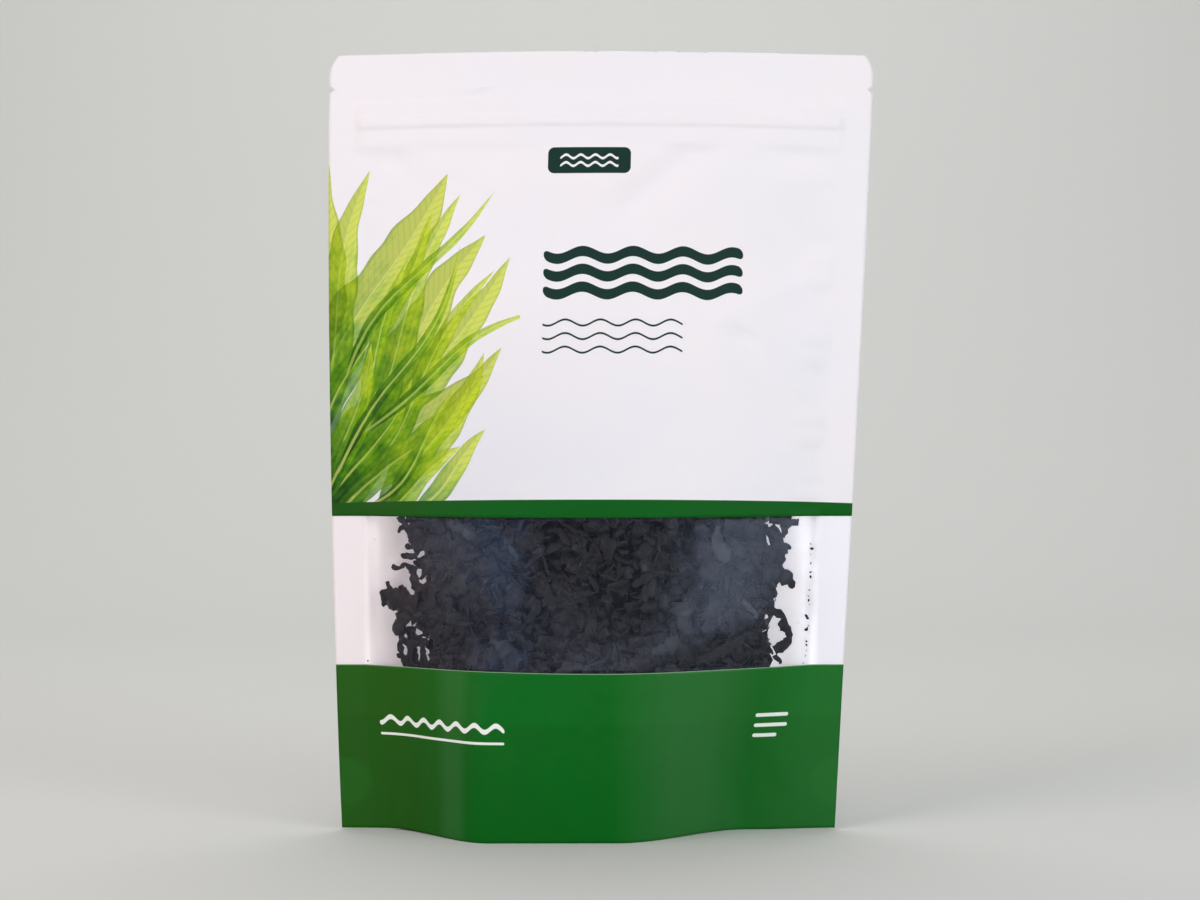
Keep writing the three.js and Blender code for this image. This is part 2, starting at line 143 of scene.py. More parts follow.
# Half the distance between the outer faces of the two films where they lie together
def halfGap(x, z):
    fromSide = insideSeal(x, z)
    twoSheets = filmSheet["thickness"] + 2 * filmSheet["inSeal"]
    overGusset = twoSheets * (1 - smooth(gusset["height"], gusset["fades"], z))
    inZip = smooth(zipLock["bottom"] - zipLock["rampBelow"], zipLock["bottom"], z)
    inZip = inZip * (1 - smooth(zipLock["top"], zipLock["top"] + zipLock["rampAbove"], z))
    ridge = np.exp(-((z - zipLock["line"]) / zipLock["width"]) ** 4)
    free = smooth(*zipLock["intoSeal"], fromSide)  # the flanges run flat through the side seals
    overZip = inZip * (zipLock["half"] + zipLock["ridge"] * ridge) * free
    pressed = inZip * zipLock["flat"] * (1 - free)
    return filmSheet["inSeal"] + filmSheet["thickness"] + np.maximum(overGusset, overZip + pressed)


# Creases in the film as (x0, z0, x1, z1, width, depth): a crease stands out where its depth is positive
frontCreases = [
    (34, 224, 6, 203, 5.5, -0.95), (46, 224, 22, 206, 8, 0.55), (58, 222.5, 80, 221.5, 4.5, -0.8),
    (-82, 222.5, -66, 221, 4, -0.6), (-62, 223, -44, 217, 5, 0.3), (-46, 243.5, -36, 245.5, 1.2, 0.35),
    (38, 169, 53, 165.5, 2.4, 0.3), (44, 166, 50, 161, 3, -0.3), (70, 153, 76, 143, 1.6, -0.4),
    (66, 147, 75, 137, 2.2, 0.3), (40, 169, 70, 184, 4.5, 0.35), (41, 168, 59, 152, 4, -0.35),
    (-72, 196, -60, 176, 9, -0.35), (60, 205, 72, 180, 8, -0.4), (-20, 215, -34, 196, 9, 0.28),
    (72, 120, 79, 108, 3, -0.25), (-78, 130, -72, 112, 3, -0.25), (-55, 30, -60, 6, 3.2, 0.35),
    (30, 40, 44, 8, 5, -0.3), (52, 34, 66, 12, 4, 0.25), (-70, 42, -62, 24, 3, -0.3),
    (12, 40, 20, 6, 6, 0.35), (-40, 36, -46, 4, 5, 0.3),
]
backCreases = [
    (-40, 226, -10, 200, 7, -0.8), (30, 226, 52, 204, 6, -0.7), (-70, 205, -62, 178, 8, -0.5),
    (66, 200, 60, 170, 7, 0.4), (-20, 150, 10, 142, 3, 0.25), (50, 120, 66, 104, 3, -0.4),
    (-66, 90, -74, 74, 3, -0.35), (-44, 38, -52, 6, 4, 0.4), (40, 38, 48, 6, 4, 0.4),
    (0, 60, 12, 40, 6, -0.3), (58, 60, 66, 44, 3, 0.3),
]


# The valley beside a crease: its share of the depth, and how many widths away it lies
creaseForm = {"strength": 1.8, "valley": 0.35, "beside": 1.7}


def creaseRelief(x, z, creases):
    strength, valley, beside = creaseForm.values()
    relief = np.zeros_like(x)
    for x0, z0, x1, z1, width, depth in creases:
        along = np.hypot(x1 - x0, z1 - z0)
        ux, uz = (x1 - x0) / along, (z1 - z0) / along
        t = (x - x0) * ux + (z - z0) * uz
        off = (x - x0) * uz - (z - z0) * ux
        ends = smooth(-0.35 * along, 0.3 * along, t) * (1 - smooth(0.65 * along, 1.35 * along, t))
        hollow = valley * np.exp(-((off - beside * width) / width) ** 2)
        relief += strength * depth * ends * (np.exp(-(off / width) ** 2) - hollow)
    return relief


# Waves: how many, the shortest and the longest, and their height, all in millimetres
filmWaves = {
    "slack": (9, 34, 90, 0.6), "fine": (14, 9, 24, 0.05), "overFlakes": (22, 5, 11, 0.055),
    "rim": (6, 40, 120, 0.35),
    "pucker": (7, 7, 19, 0.36), "crimp": (5, 3.5, 8, 0.1), "heap": (12, 5, 14, 0.5),
}
# Levels between which a form of the film begins or ends
fades = {
    "foot": (5, 30), "heapFoot": (12, 30), "heapTop": (118, 136), "puckerFoot": (48, 70),
    "puckerTop": (205, 226), "underZip": (223, 227), "zipFoot": (223.5, 226.8), "zipHead": (240.3, 242.5),
    "weld": (240.5, 246), "rim": (241, 257),
}


def waves(x, z, seed, count, shortest, longest, amount):
    draw = np.random.default_rng(seed)
    relief = np.zeros_like(x)
    for _ in range(count):
        length = draw.uniform(shortest, longest)
        turn, phase = draw.uniform(0, math.pi), draw.uniform(0, 2 * math.pi)
        relief += np.sin((x * math.cos(turn) + z * math.sin(turn)) * 2 * math.pi / length + phase)
    return relief * amount / math.sqrt(count)


# Small puckers along the inner edge of each side seal, where the flat film starts to bulge
def sealPuckers(x, z, seed):
    fromSide = insideSeal(x, z)
    side = np.where(x > centreAt(z), 1, -1)
    rhythm = waves(side * 7.0 + 0 * x, z, seed, *filmWaves["pucker"])
    rhythm = rhythm + waves(0 * x + side * 3, z, seed + 1, *filmWaves["crimp"])
    band = smooth(-0.5, 2.5, fromSide) * (1 - smooth(4, 15, fromSide))
    return rhythm * band * smooth(*fades["puckerFoot"], z) * (1 - smooth(*fades["puckerTop"], z))


def reliefAt(x, z, creases, seed):
    inside = smooth(0, 14, insideSeal(x, z))
    below = 1 - smooth(*fades["underZip"], z)
    # the flanges of the zip hold the film flat
    awayFromZip = 1 - smooth(*fades["zipFoot"], z) * (1 - smooth(*fades["zipHead"], z))
    soft = waves(x, z, seed, *filmWaves["slack"]) * inside * below * (0.25 + 0.75 * smooth(*fades["foot"], z))
    fine = waves(x, z, seed + 7, *filmWaves["fine"]) * (0.3 + 0.7 * inside)
    # the filling presses small bumps into the film
    pressed = waves(x, z, seed + 3, *filmWaves["overFlakes"]) * inside
    pressed = pressed * smooth(*fades["heapFoot"], z) * (1 - smooth(*fades["heapTop"], z))
    creased = creaseRelief(x, z, creases) * (0.25 + 0.75 * inside)
    rim = waves(x, z, seed + 11, *filmWaves["rim"]) * smooth(*fades["rim"], z)
    return (creased + fine) * awayFromZip + soft + pressed + sealPuckers(x, z, seed) + rim


def frontFilmY(x, z):
    return bowAt(x, z) - halfGap(x, z) - panelDepth(x, z, pouch["frontFoot"]) - reliefAt(x, z, frontCreases, 21)


# The back film is welded to the front one in the side seals and above the zip, and never crosses it
def backFilmY(x, z):
    against = frontFilmY(x, z) + 2 * halfGap(x, z)
    loose = bowAt(x, z) + halfGap(x, z) + panelDepth(x, z, pouch["backFoot"]) + reliefAt(x, z, backCreases, 58)
    welded = np.maximum(1 - smooth(0, 3, insideSeal(x, z)), smooth(*fades["weld"], z))
    return mix(np.maximum(loose, against), against, welded)


def filmTop(x):
    return pouch["topArch"] * (1 - (x / pouch["topHalf"]) ** 2)


def columnsOf(step):
    return np.linspace(-1, 1, 2 * int(round(pouch["topHalf"] / step)) + 1)


# One web of film between two levels: a grid whose outer columns follow the cut edge
def filmGrid(levels, faceY, step):
    u, z = np.meshgrid(columnsOf(step), np.asarray(levels, float))
    inner = halfWidthAt(z) - pouch["seal"]
    sealFrom = 1 - pouch["seal"] / halfWidthAt(z)
    inSeal = np.clip((np.abs(u) - sealFrom) / (1 - sealFrom), 0, 1)
    reach = np.where(inSeal > 0, inner + inSeal * (cutEdgeAt(z) - inner), np.abs(u) / sealFrom * inner)
    x = centreAt(z) + np.sign(u) * reach
    y = faceY(x, z)
    lift = pouch["rimLift"] * smooth(pouch["rimLiftFrom"], pouch["baseHalf"], np.abs(x)) * (1 - smooth(0, 12, z))
    settle = filmTop(x) * smooth(pouch["archFrom"], pouch["height"], z)
    points = np.stack([x, y, np.minimum(z + lift + settle, pouch["height"] - 0.02)], -1)
    flat = np.zeros_like(x)
    middle = x.shape[1] // 2
    lengths = np.hypot(np.diff(x, axis=1), np.diff(y, axis=1))
    flat[:, middle + 1:] = np.cumsum(lengths[:, middle:], axis=1)
    flat[:, :middle] = -np.cumsum(lengths[:, :middle][:, ::-1], axis=1)[:, ::-1]
    return points, flat, z


filmSpan = 300.0  # one unit of the film's UV map is this many millimetres of flat film


def inScene(name, data):
    thing = bpy.data.objects.new(name, data)
    bpy.context.scene.collection.objects.link(thing)
    return thing


# Points are in millimetres
def meshFrom(name, points, faces):
    mesh = bpy.data.meshes.new(name)
    mesh.from_pydata((points.reshape(-1, 3) * mm).tolist(), [], faces)
    return mesh


def gridPiece(name, points, uv, turned):
    rows, across = points.shape[:2]
    index = np.arange(rows * across).reshape(rows, across)
    quads = np.stack([index[:-1, :-1], index[:-1, 1:], index[1:, 1:], index[1:, :-1]], -1).reshape(-1, 4)
    if turned:
        quads = quads[:, ::-1]
    mesh = meshFrom(name, points, quads.tolist())
    layer = mesh.uv_layers.new(name="film")
    layer.data.foreach_set("uv", uv.reshape(-1, 2)[quads.reshape(-1)].astype(np.float32).ravel())
    mesh.polygons.foreach_set("use_smooth", np.ones(len(quads), bool))
    mesh.update()
    return inScene(name, mesh)


# Gives a sheet its wall, which lies on the inner side where the offset is negative
def addWall(piece, thickness, offset):
    wall = piece.modifiers.new("filmWall", "SOLIDIFY")
    wall.thickness, wall.offset = thickness * mm, offset
    return wall


def filmPiece(name, levels, faceY, materials, turned=False, thickness=filmSheet["thickness"]):
    points, flat, z = filmGrid(levels, faceY, filmSheet["step"])
    uv = np.stack([flat / filmSpan + 0.5, z / filmSpan + 0.05], -1)
    piece = gridPiece(name, points, uv, turned)
    addWall(piece, thickness, -1)
    for material in materials:
        piece.data.materials.append(material)
    return piece, flat


# Rows of a film: evenly spaced, with finer ones where the notches, the zip and the top corners need them
def levelsBetween(low, high):
    levels = np.linspace(low, high, max(int(round((high - low) / filmSheet["rows"])), 1) + 1)
    notch = pouch["notchLevel"] + np.linspace(-0.5, 0.5, 9) * pouch["notchHeight"]
    zipEdges = np.array([zipLock["bottom"], zipLock["top"], zipLock["top"] + zipLock["rampAbove"]])
    ridge = zipLock["line"] + np.linspace(-3, 3, 16)
    corner = pouch["height"] - np.linspace(0, pouch["cornerDrop"], 15)
    extra = np.concatenate([notch, zipEdges, zipEdges - 0.45, ridge, corner])
    extra = extra[(extra > low + 0.15) & (extra < high - 0.15)]
    levels = levels[[min(np.abs(extra - v), default=1) > 0.3 or v in (low, high) for v in levels]]
    return np.sort(np.concatenate([levels, extra]))


# Materials
def linear(code):
    channels = [int(code[i:i + 2], 16) / 255 for i in (1, 3, 5)]
    return tuple(c / 12.92 if c <= 0.04045 else ((c + 0.055) / 1.055) ** 2.4 for c in channels) + (1,)


# Adds a node with its settings. Its sockets are linked or set in their order from a list, or by name from a
# dictionary, a node stands for its first output, and stops are the places and colours of a ramp
def addNode(tree, kind, links=(), stops=(), **settings):
    node = tree.nodes.new(kind if "Node" in kind else "ShaderNode" + kind)
    for name, value in settings.items():
        setattr(node, name, value)
    for i, (place, colour) in enumerate(stops):
        element = node.color_ramp.elements[i] if i < 2 else node.color_ramp.elements.new(place)
        element.position, element.color = place, linear(colour)
    sockets = [socket for socket in node.inputs if socket.enabled]
    for key, value in links.items() if isinstance(links, dict) else enumerate(links):
        target = sockets[key] if isinstance(key, int) else next(socket for socket in sockets if socket.name == key)
        if isinstance(value, bpy.types.Node):
            value = next(output for output in value.outputs if output.enabled)
        if isinstance(value, bpy.types.NodeSocket):
            tree.links.new(value, target)
        else:
            target.default_value = linear(value) if str(value).startswith("#") else value
    return node


def newMaterial(name):
    material = bpy.data.materials.new(name)
    material.use_nodes = True
    material.node_tree.nodes.clear()
    return material, partial(addNode, material.node_tree)


# Flat-film coordinates in millimetres: x from the middle of the web, y up from the foot
def filmPlace(add):
    moved = add("VectorMath", [add("UVMap", uv_map="film"), (-0.5, -0.05, 0)], operation="ADD")
    place = add("VectorMath", [moved, filmSpan], operation="SCALE")
    parts = add("SeparateXYZ", [place]).outputs
    return place, parts["X"], parts["Y"]


def groupTree(name, inputs, output, kindOfOutput):
    group = bpy.data.node_groups.new(name, "ShaderNodeTree")
    for label, kind, value in inputs:
        group.interface.new_socket(label, in_out="INPUT", socket_type="NodeSocket" + kind).default_value = value
    group.interface.new_socket(output, in_out="OUTPUT", socket_type="NodeSocket" + kindOfOutput)
    return group, partial(addNode, group)


# One printed frond: a tapering, ruffled blade with a midrib and side veins. Clear ink darkens what lies
# below it, as one wash of watercolour over another does
def printedFrondGroup():
    inputs = [("Below", "Color", (1, 1, 1, 1)), ("Place", "Vector", (0, 0, 0)), ("Wash", "Float", 0.5),
              ("Root", "Vector", (0, 0, 0)), ("Heading", "Vector", (0, 0, 1)), ("Length", "Float", 60.0),
              ("Width", "Float", 10.0), ("Bend", "Float", 0.0), ("Sway", "Float", 0.0), ("Ruffle", "Float", 0.1),
              ("Tone", "Float", 0.0), ("Clear", "Float", 0.4)]
    tree, add = groupTree("printedFrond", inputs, "Colour", "Color")
    g = add("NodeGroupInput").outputs
    turned = add("Mapping", [g["Place"], g["Root"], g["Heading"]], vector_type="TEXTURE")
    along, straight = add("SeparateXYZ", [turned]).outputs[:2]
    inside = add("Clamp", [add("Math", [along, g["Length"]], operation="DIVIDE")])
    curl = add("Math", [add("Math", [inside, 2.0], operation="POWER"), g["Bend"]], operation="MULTIPLY")
    swing = add("Math", [add("Math", [inside, 2 * math.pi], operation="MULTIPLY")], operation="SINE")
    axis = add("Math", [swing, g["Sway"], curl], operation="MULTIPLY_ADD")
    across = add("Math", [straight, axis], operation="SUBTRACT")
    away = add("Math", [across], operation="ABSOLUTE")
    side = add("Math", [across], operation="SIGN")
    tip = add("Math", [add("Math", [1.0, inside], operation="SUBTRACT"), 0.9], operation="POWER")
    taper = add("Math", [add("Math", [inside, 0.6], operation="POWER"), tip], operation="MULTIPLY")
    waved = []
    for rate, apart in ((0.2, 1.3), (0.47, 2.1)):
        phase = add("Math", [side, apart, g["Length"]], operation="MULTIPLY_ADD")
        turns = add("Math", [along, rate, phase], operation="MULTIPLY_ADD")
        waved.append(add("Math", [turns], operation="SINE"))
    ruffles = add("Math", [waved[1], 0.5, waved[0]], operation="MULTIPLY_ADD")
    swell = add("Math", [ruffles, g["Ruffle"], 1.0], operation="MULTIPLY_ADD")
    half = add("Math", [add("Math", [taper, g["Width"]], operation="MULTIPLY"), swell], operation="MULTIPLY")
    body = add("MapRange", [add("Math", [half, away], operation="SUBTRACT"), 0.0, 0.16, 0.0, 0.9])
    tone = add("Math", [inside, g["Tone"]], operation="ADD")
    tone = add("Math", [tone, add("MapRange", [g["Wash"], 0.3, 0.7, -0.16, 0.16])], operation="ADD")
    lines = add("Math", [across, 3.1, add("Math", [along, 0.11], operation="MULTIPLY")], operation="MULTIPLY_ADD")
    streaks = add("Math", [add("Math", [lines], operation="SINE"), 0.05, tone], operation="MULTIPLY_ADD")
    greens = [(0.0, "#17420F"), (0.25, "#38740A"), (0.52, "#7AAD0F"), (0.78, "#B6D31A"), (1.0, "#D8E63C")]
    colour = add("ValToRGB", [streaks], greens)
    colour = add("Mix", [add("MapRange", [across, -0.5, 0.5, 0.0, 0.24]), colour, "#356B10"], data_type="RGBA")
    slope = add("Math", [along, 1.9, add("Math", [away, -2.6], operation="MULTIPLY")], operation="MULTIPLY_ADD")
    veins = add("MapRange", [add("Math", [slope], operation="SINE"), 0.5, 1.0, 0.0, 0.16])
    colour = add("Mix", [veins, colour, "#336A14"], data_type="RGBA")
    toRim = add("Math", [away, add("Math", [half, 0.01], operation="MAXIMUM")], operation="DIVIDE")
    colour = add("Mix", [add("MapRange", [toRim, 0.8, 1.0, 0.0, 0.55]), colour, "#4C8A12"], data_type="RGBA")
    thinning = add("Math", [add("MapRange", [inside, 0.0, 1.0, 0.5, 0.08]), away], operation="SUBTRACT")
    colour = add("Mix", [add("MapRange", [thinning, -0.12, 0.12, 0.0, 0.6]), colour, "#DDEB78"], data_type="RGBA")
    laid = add("Mix", [body, g["Below"], colour], data_type="RGBA")
    washed = add("Mix", [body, g["Below"], colour], data_type="RGBA", blend_type="MULTIPLY")
    add("NodeGroupOutput", [add("Mix", [g["Clear"], laid, washed], data_type="RGBA")])
    return tree


# A plain printed bar with round corners: Flat is half its size less the corner's radius
def printedBarGroup():
    inputs = [("Place", "Vector", (0, 0, 0)), ("Middle", "Vector", (0, 0, 0)), ("Flat", "Vector", (8, 1, 0)),
              ("Corner", "Float", 1.0)]
    tree, add = groupTree("printedBar", inputs, "Mask", "Float")
    g = add("NodeGroupInput").outputs
    off = add("VectorMath", [g["Place"], g["Middle"]], operation="SUBTRACT")
    off = add("VectorMath", [add("VectorMath", [off], operation="ABSOLUTE"), g["Flat"]], operation="SUBTRACT")
    outside = add("VectorMath", [off, (0, 0, 0)], operation="MAXIMUM")
    away = add("Math", [add("VectorMath", [outside], operation="LENGTH"), g["Corner"]], operation="SUBTRACT")
    add("NodeGroupOutput", [add("MapRange", [away, 0.07, -0.07])])
    return tree


frondPrint = printedFrondGroup()
barPrint = printedBarGroup()


# A bar is its middle, its half sizes and the radius of its corners
def barMask(add, place, bar):
    x, y, halfX, halfY, corner = bar
    links = {"Place": place, "Middle": (x, y, 0), "Flat": (halfX - corner, halfY - corner, 0),
             "Corner": corner}
    return add("Group", links, node_tree=barPrint)


# A line that rises and falls as plain waves do
def waveMask(add, place, bar, height, length):
    x = add("SeparateXYZ", [place])
    crest = add("Math", [add("Math", [x, 2 * math.pi / length, -bar[0]], operation="MULTIPLY_ADD")], operation="SINE")
    rise = add("CombineXYZ", {"Y": add("Math", [crest, height], operation="MULTIPLY")})
    return barMask(add, add("VectorMath", [place, rise], operation="SUBTRACT"), bar)


# The fan of fronds, from the hindmost to the foremost: root, heading in degrees, then the group's other inputs
frondFan = [
    (-94, 140, 66, 88, 26, -9, 2, 0.1, 0.34, 1), (-95, 158, 80, 64, 19.5, 7, -2, 0.1, 0.42, 1),
    (-92, 122, 46, 92, 24.7, 12, -3, 0.12, 0.36, 1), (-93, 112, 30, 78, 20.8, 10, 3, 0.12, 0.3, 1),
    (-86, 102, 62, 104, 20.8, -10, 2.5, 0.12, 0.22, 0.7), (-94, 128, 84, 92, 18.2, -8, -2, 0.1, 0.26, 0.7),
    (-92, 116, 56, 104, 16.9, 14, -3.5, 0.14, 0.14, 0.5), (-74, 103, 47, 66, 16.9, 10, 2, 0.12, 0.26, 0.6),
    (-94, 108, 40, 96, 11.7, 20, -4, 0.1, 0.1, 0.4), (-94, 112, 75, 100, 13, -14, 4, 0.12, 0.02, 0.3),
    (-90, 103, 36, 72, 15.6, 7, 2, 0.12, 0.16, 0.4), (-68, 104, 66, 50, 11.7, -7, 1.5, 0.1, 0.2, 0.4),
    (-95, 106, 61, 90, 10.4, 12, -3, 0.1, -0.06, 0.2), (-60, 106, 38, 36, 10.4, 6, -1, 0.1, 0.3, 0.5),
    (-90, 101, 82, 62, 13, -6, 2, 0.12, -0.02, 0.3), (-80, 102, 27, 44, 11.7, 6, -1.5, 0.1, 0.1, 0.3),
    (-95, 103, 48, 58, 11.7, 6, 1.5, 0.1, -0.12, 0.2), (-93, 104, 70, 46, 9.1, -4, 1, 0.1, -0.1, 0.2),
    (-84, 150, 60, 78, 5.7, -13, 2.5, 0.1, 0.12, 0.4), (-78, 132, 44, 72, 5.5, -14, -2, 0.1, 0.1, 0.4),
    (-88, 118, 50, 86, 6, 16, 3, 0.1, -0.1, 0.2), (-76, 108, 38, 50, 4.7, 12, -2, 0.1, 0.05, 0.3),
]
frondFields = ("Length", "Width", "Bend", "Sway", "Ruffle", "Tone", "Clear")
frondsEnd = -24.0  # the fronds stay left of this, in millimetres of flat film
plainMarks = {
    "ink": "#17352E", "plate": (-3.2, 220.4, 13.6, 4.3, 2.1), "plateInk": "#F1EEF0", "paleInk": "#EDF2EA",
    "plateWaves": {"height": 0.6, "length": 4.8, "bars": [(-3.2, z, 9.6, 0.42, 0.4) for z in (221.6, 219.1)]},
    "boldWaves": {"height": 1.25, "length": 16.5,
                  "bars": [(15.5, z, 33, 1.7, 1.6) for z in (189.5, 183.7, 177.9)]},
    "fineWaves": {"height": 1.0, "length": 11.5,
                  "bars": [(5.6, z, 23, 0.34, 0.33) for z in (167.5, 163.1, 158.7)]},
    "greenWave": {"height": 1.0, "length": 7.3, "bars": [(-52.4, 36.8, 25.4, 0.8, 0.79)]},
    "greenBars": [(-52.4, 32.2, 25.4, 0.4, 0.39), (66.4, 38.8, 5.9, 0.6, 0.59),
                  (66.4, 35.4, 5.9, 0.6, 0.59), (64.8, 32.0, 4.2, 0.6, 0.59)],
    "backRules": {"count": 9, "top": 196, "apart": 7.5, "half": 52, "line": 0.16, "corner": 0.1},
}
# Colours of the print, with some that paint shade and light: the darker, cooler white at the lower left, the darker
# green at the left edge and over the gusset, and the lighter green at the gusset's eye holes
printInks = {
    "white": "#F5F0F2", "whiteCool": "#F1F0F5", "paintedShadeLowerLeft": "#D0D7E1", "green": "#02691A",
    "greenDeep": "#0A6016", "paintedShadeLeft": "#3A4A08", "gussetShade": "#03480C", "eye": "#26802E", "band": "#003E08",
}


def filmBump(add, place):
    grain = add("TexNoise", [place, 2.6, 3.0, 0.6])  # a fine orange-peel of about 0.4 mm
    soft = add("TexNoise", [place, 0.22, 4.0, 0.55])  # slack film, a few millimetres across
    height = add("Math", [grain, 0.12, soft], operation="MULTIPLY_ADD")
    return add("Bump", {"Strength": 0.35, "Distance": 0.22 * mm, "Height": height})


def inkedWaves(add, place, colour, marks, ink):
    for bar in marks["bars"]:
        mask = waveMask(add, place, bar, marks["height"], marks["length"])
        colour = add("Mix", [mask, colour, ink], data_type="RGBA")
    return colour


# Reverse-printed laminate with a matte outer film: white ink shows soft and milky, with a broad weak sheen
def printedLaminate(name, fronds=False, back=False):
    material, add = newMaterial(name)
    place, x, y = filmPlace(add)
    cloud = add("MapRange", [add("TexNoise", [place, 0.02]), 0.35, 0.65, 0.0, 0.6])
    colour = add("Mix", [cloud, printInks["white"], printInks["whiteCool"]], data_type="RGBA")
    ink, rules = plainMarks["ink"], plainMarks["backRules"]
    if back:
        level = add("MapRange", [y, printLines["windowBottom"] + 0.06, printLines["windowBottom"] - 0.06])
        for row in range(rules["count"]):
            bar = (0, rules["top"] - row * rules["apart"], rules["half"], rules["line"], rules["corner"])
            ruled = barMask(add, place, bar)
            colour = add("Mix", [ruled, colour, ink], data_type="RGBA")
    else:
        # painted shade: the white is mixed darker and cooler towards the lower left of the panel
        near = add("MapRange", [y, 185.0, 118.0], interpolation_type="SMOOTHSTEP")
        left = add("MapRange", [x, 60.0, -40.0, 0.04, 0.4], interpolation_type="SMOOTHSTEP")
        paintedShadeMask = add("Math", [near, left], operation="MULTIPLY")
        colour = add("Mix", [paintedShadeMask, colour, printInks["paintedShadeLowerLeft"]], data_type="RGBA")
        # the green band, a little deeper in its middle
        curve = (printLines["bandSide"] - printLines["bandMiddle"]) / printLines["bandReach"] ** 2
        squared = add("Math", [x, 2.0], operation="POWER")
        arch = add("Math", [squared, curve, printLines["bandMiddle"]], operation="MULTIPLY_ADD")
        level = add("MapRange", [add("Math", [arch, y], operation="SUBTRACT"), -0.06, 0.06])
    if fronds:
        wash = add("TexNoise", [place, 0.16, 3.0, 0.6])
        for rootX, rootY, heading, *rest in frondFan:
            links = {"Below": colour, "Place": place, "Wash": wash, "Root": (rootX, rootY, 0),
                     "Heading": (0, 0, math.radians(heading)), **dict(zip(frondFields, rest))}
            colour = add("Group", links, node_tree=frondPrint)
    elif not back:
        colour = add("Mix", [barMask(add, place, plainMarks["plate"]), colour, ink], data_type="RGBA")
        colour = inkedWaves(add, place, colour, plainMarks["plateWaves"], plainMarks["plateInk"])
        colour = inkedWaves(add, place, colour, plainMarks["boldWaves"], ink)
        colour = inkedWaves(add, place, colour, plainMarks["fineWaves"], ink)
    ground = add("Mix", [0.35, greenInk(add, place, x, y), printInks["band"]], data_type="RGBA")
    colour = add("Mix", [level, colour, ground], data_type="RGBA")
    shine = add("MapRange", [add("TexNoise", [place, 0.07, 3.0]), 0.3, 0.7, 0.48, 0.56])
    links = {"Base Color": colour, "Roughness": shine, "Normal": filmBump(add, place), "IOR": 1.5,
             "Specular IOR Level": 0.12}
    add("OutputMaterial", [add("BsdfPrincipled", links)])
    return material


def greenInk(add, place, x, y):
    cloud = add("MapRange", [add("TexNoise", [place, 0.018]), 0.35, 0.65, 0.0, 0.6])
    green = add("Mix", [cloud, printInks["green"], printInks["greenDeep"]], data_type="RGBA")
    # painted shade: towards the left edge the green is mixed darker and more olive, where less light falls
    paintedShadeLeft = add("MapRange", [x, -34.0, -70.0, 0.0, 0.4])
    green = add("Mix", [paintedShadeLeft, green, printInks["paintedShadeLeft"]], data_type="RGBA")
    # painted shade: behind the lowest part the gusset lies folded against the panel and lets less light through, and
    # the green is mixed deeper there
    gussetShade = add("MapRange", [y, gusset["height"] + 0.5, gusset["height"] - 0.5, 0.0, 0.14])
    green = add("Mix", [gussetShade, green, printInks["gussetShade"]], data_type="RGBA")
    # painted light: half-round holes in the gusset at both side edges let the light through the two panels alone, and
    # the green is mixed lighter there
    offSide = add("Math", [gusset["eyeSide"], add("Math", [x], operation="ABSOLUTE")], operation="SUBTRACT")
    rise = add("Math", [y, gusset["eyeLevel"]], operation="SUBTRACT")
    eye = add("VectorMath", [add("CombineXYZ", [offSide, rise])], operation="LENGTH")
    eyeLight = add("MapRange", [eye, gusset["eye"] + 0.9, gusset["eye"] - 0.9, 0.0, 0.15])
    return add("Mix", [eyeLight, green, printInks["eye"]], data_type="RGBA")


# Painted sheen: lighter bands mixed into the green, an upright one at the left and a broad one over the right half,
# stand in for soft reflections of the lights on the curved film. The stops run over the film's width, from -reach to
# reach
paintedSheen = {
    "reach": 90.0, "most": 0.28, "tint": "#6E9C70",
    "stops": [(0.2, "#000000"), (0.23, "#9A9A9A"), (0.26, "#9A9A9A"), (0.28, "#000000"), (0.54, "#000000"),
              (0.66, "#BEBEBE"), (0.75, "#C2C2C2"), (0.84, "#707070"), (0.95, "#8A8A8A")],
}


# The same laminate printed all over in green: deep colour under a matte film that veils it very little
def greenLaminate(name):
    material, add = newMaterial(name)
    place, x, y = filmPlace(add)
    # painted sheen: lighter bands are mixed into the green across the width
    sheenBands = add("ValToRGB", [add("MapRange", [x, -paintedSheen["reach"], paintedSheen["reach"]])], paintedSheen["stops"])
    sheenShare = add("Math", [sheenBands, paintedSheen["most"]], operation="MULTIPLY")
    green = add("Mix", [sheenShare, greenInk(add, place, x, y), paintedSheen["tint"]], data_type="RGBA")
    pale = plainMarks["paleInk"]
    colour = inkedWaves(add, place, green, plainMarks["greenWave"], pale)
    for bar in plainMarks["greenBars"]:
        colour = add("Mix", [barMask(add, place, bar), colour, pale], data_type="RGBA")
    # a hairline where the ink stops short of the window
    trap = add("MapRange", [y, printLines["windowBottom"] - 0.3, printLines["windowBottom"] - 0.18, 0.0, 0.6])
    colour = add("Mix", [trap, colour, "#A9C4A8"], data_type="RGBA")
    shine = add("MapRange", [add("TexNoise", [place, 0.07, 3.0]), 0.3, 0.7, 0.36, 0.44])
    links = {"Base Color": colour, "Roughness": shine, "Normal": filmBump(add, place), "IOR": 1.5,
             "Specular IOR Level": 0.09}
    add("OutputMaterial", [add("BsdfPrincipled", links)])
    return material


# Painted light: the sealing face glows by emission, standing in for daylight that comes through the thin web from
# behind, most where the two films part and least where they are sealed together. The stops run over the width, from
# -reach to reach
paintedGlow = {
    "reach": 90.0, "strength": 0.65,
    "stops": [(0.055, "#3C3A3B"), (0.0625, "#524E50"), (0.0744, "#B6ABAE"), (0.0817, "#C2B7BA"), (0.13, "#AEA3A6"),
              (0.8, "#DEDBE0"), (0.86, "#E0DEE3"), (0.875, "#EAE8EE"), (0.885, "#CFCDD3"), (0.895, "#959398"),
              (0.903, "#514F53")],
}


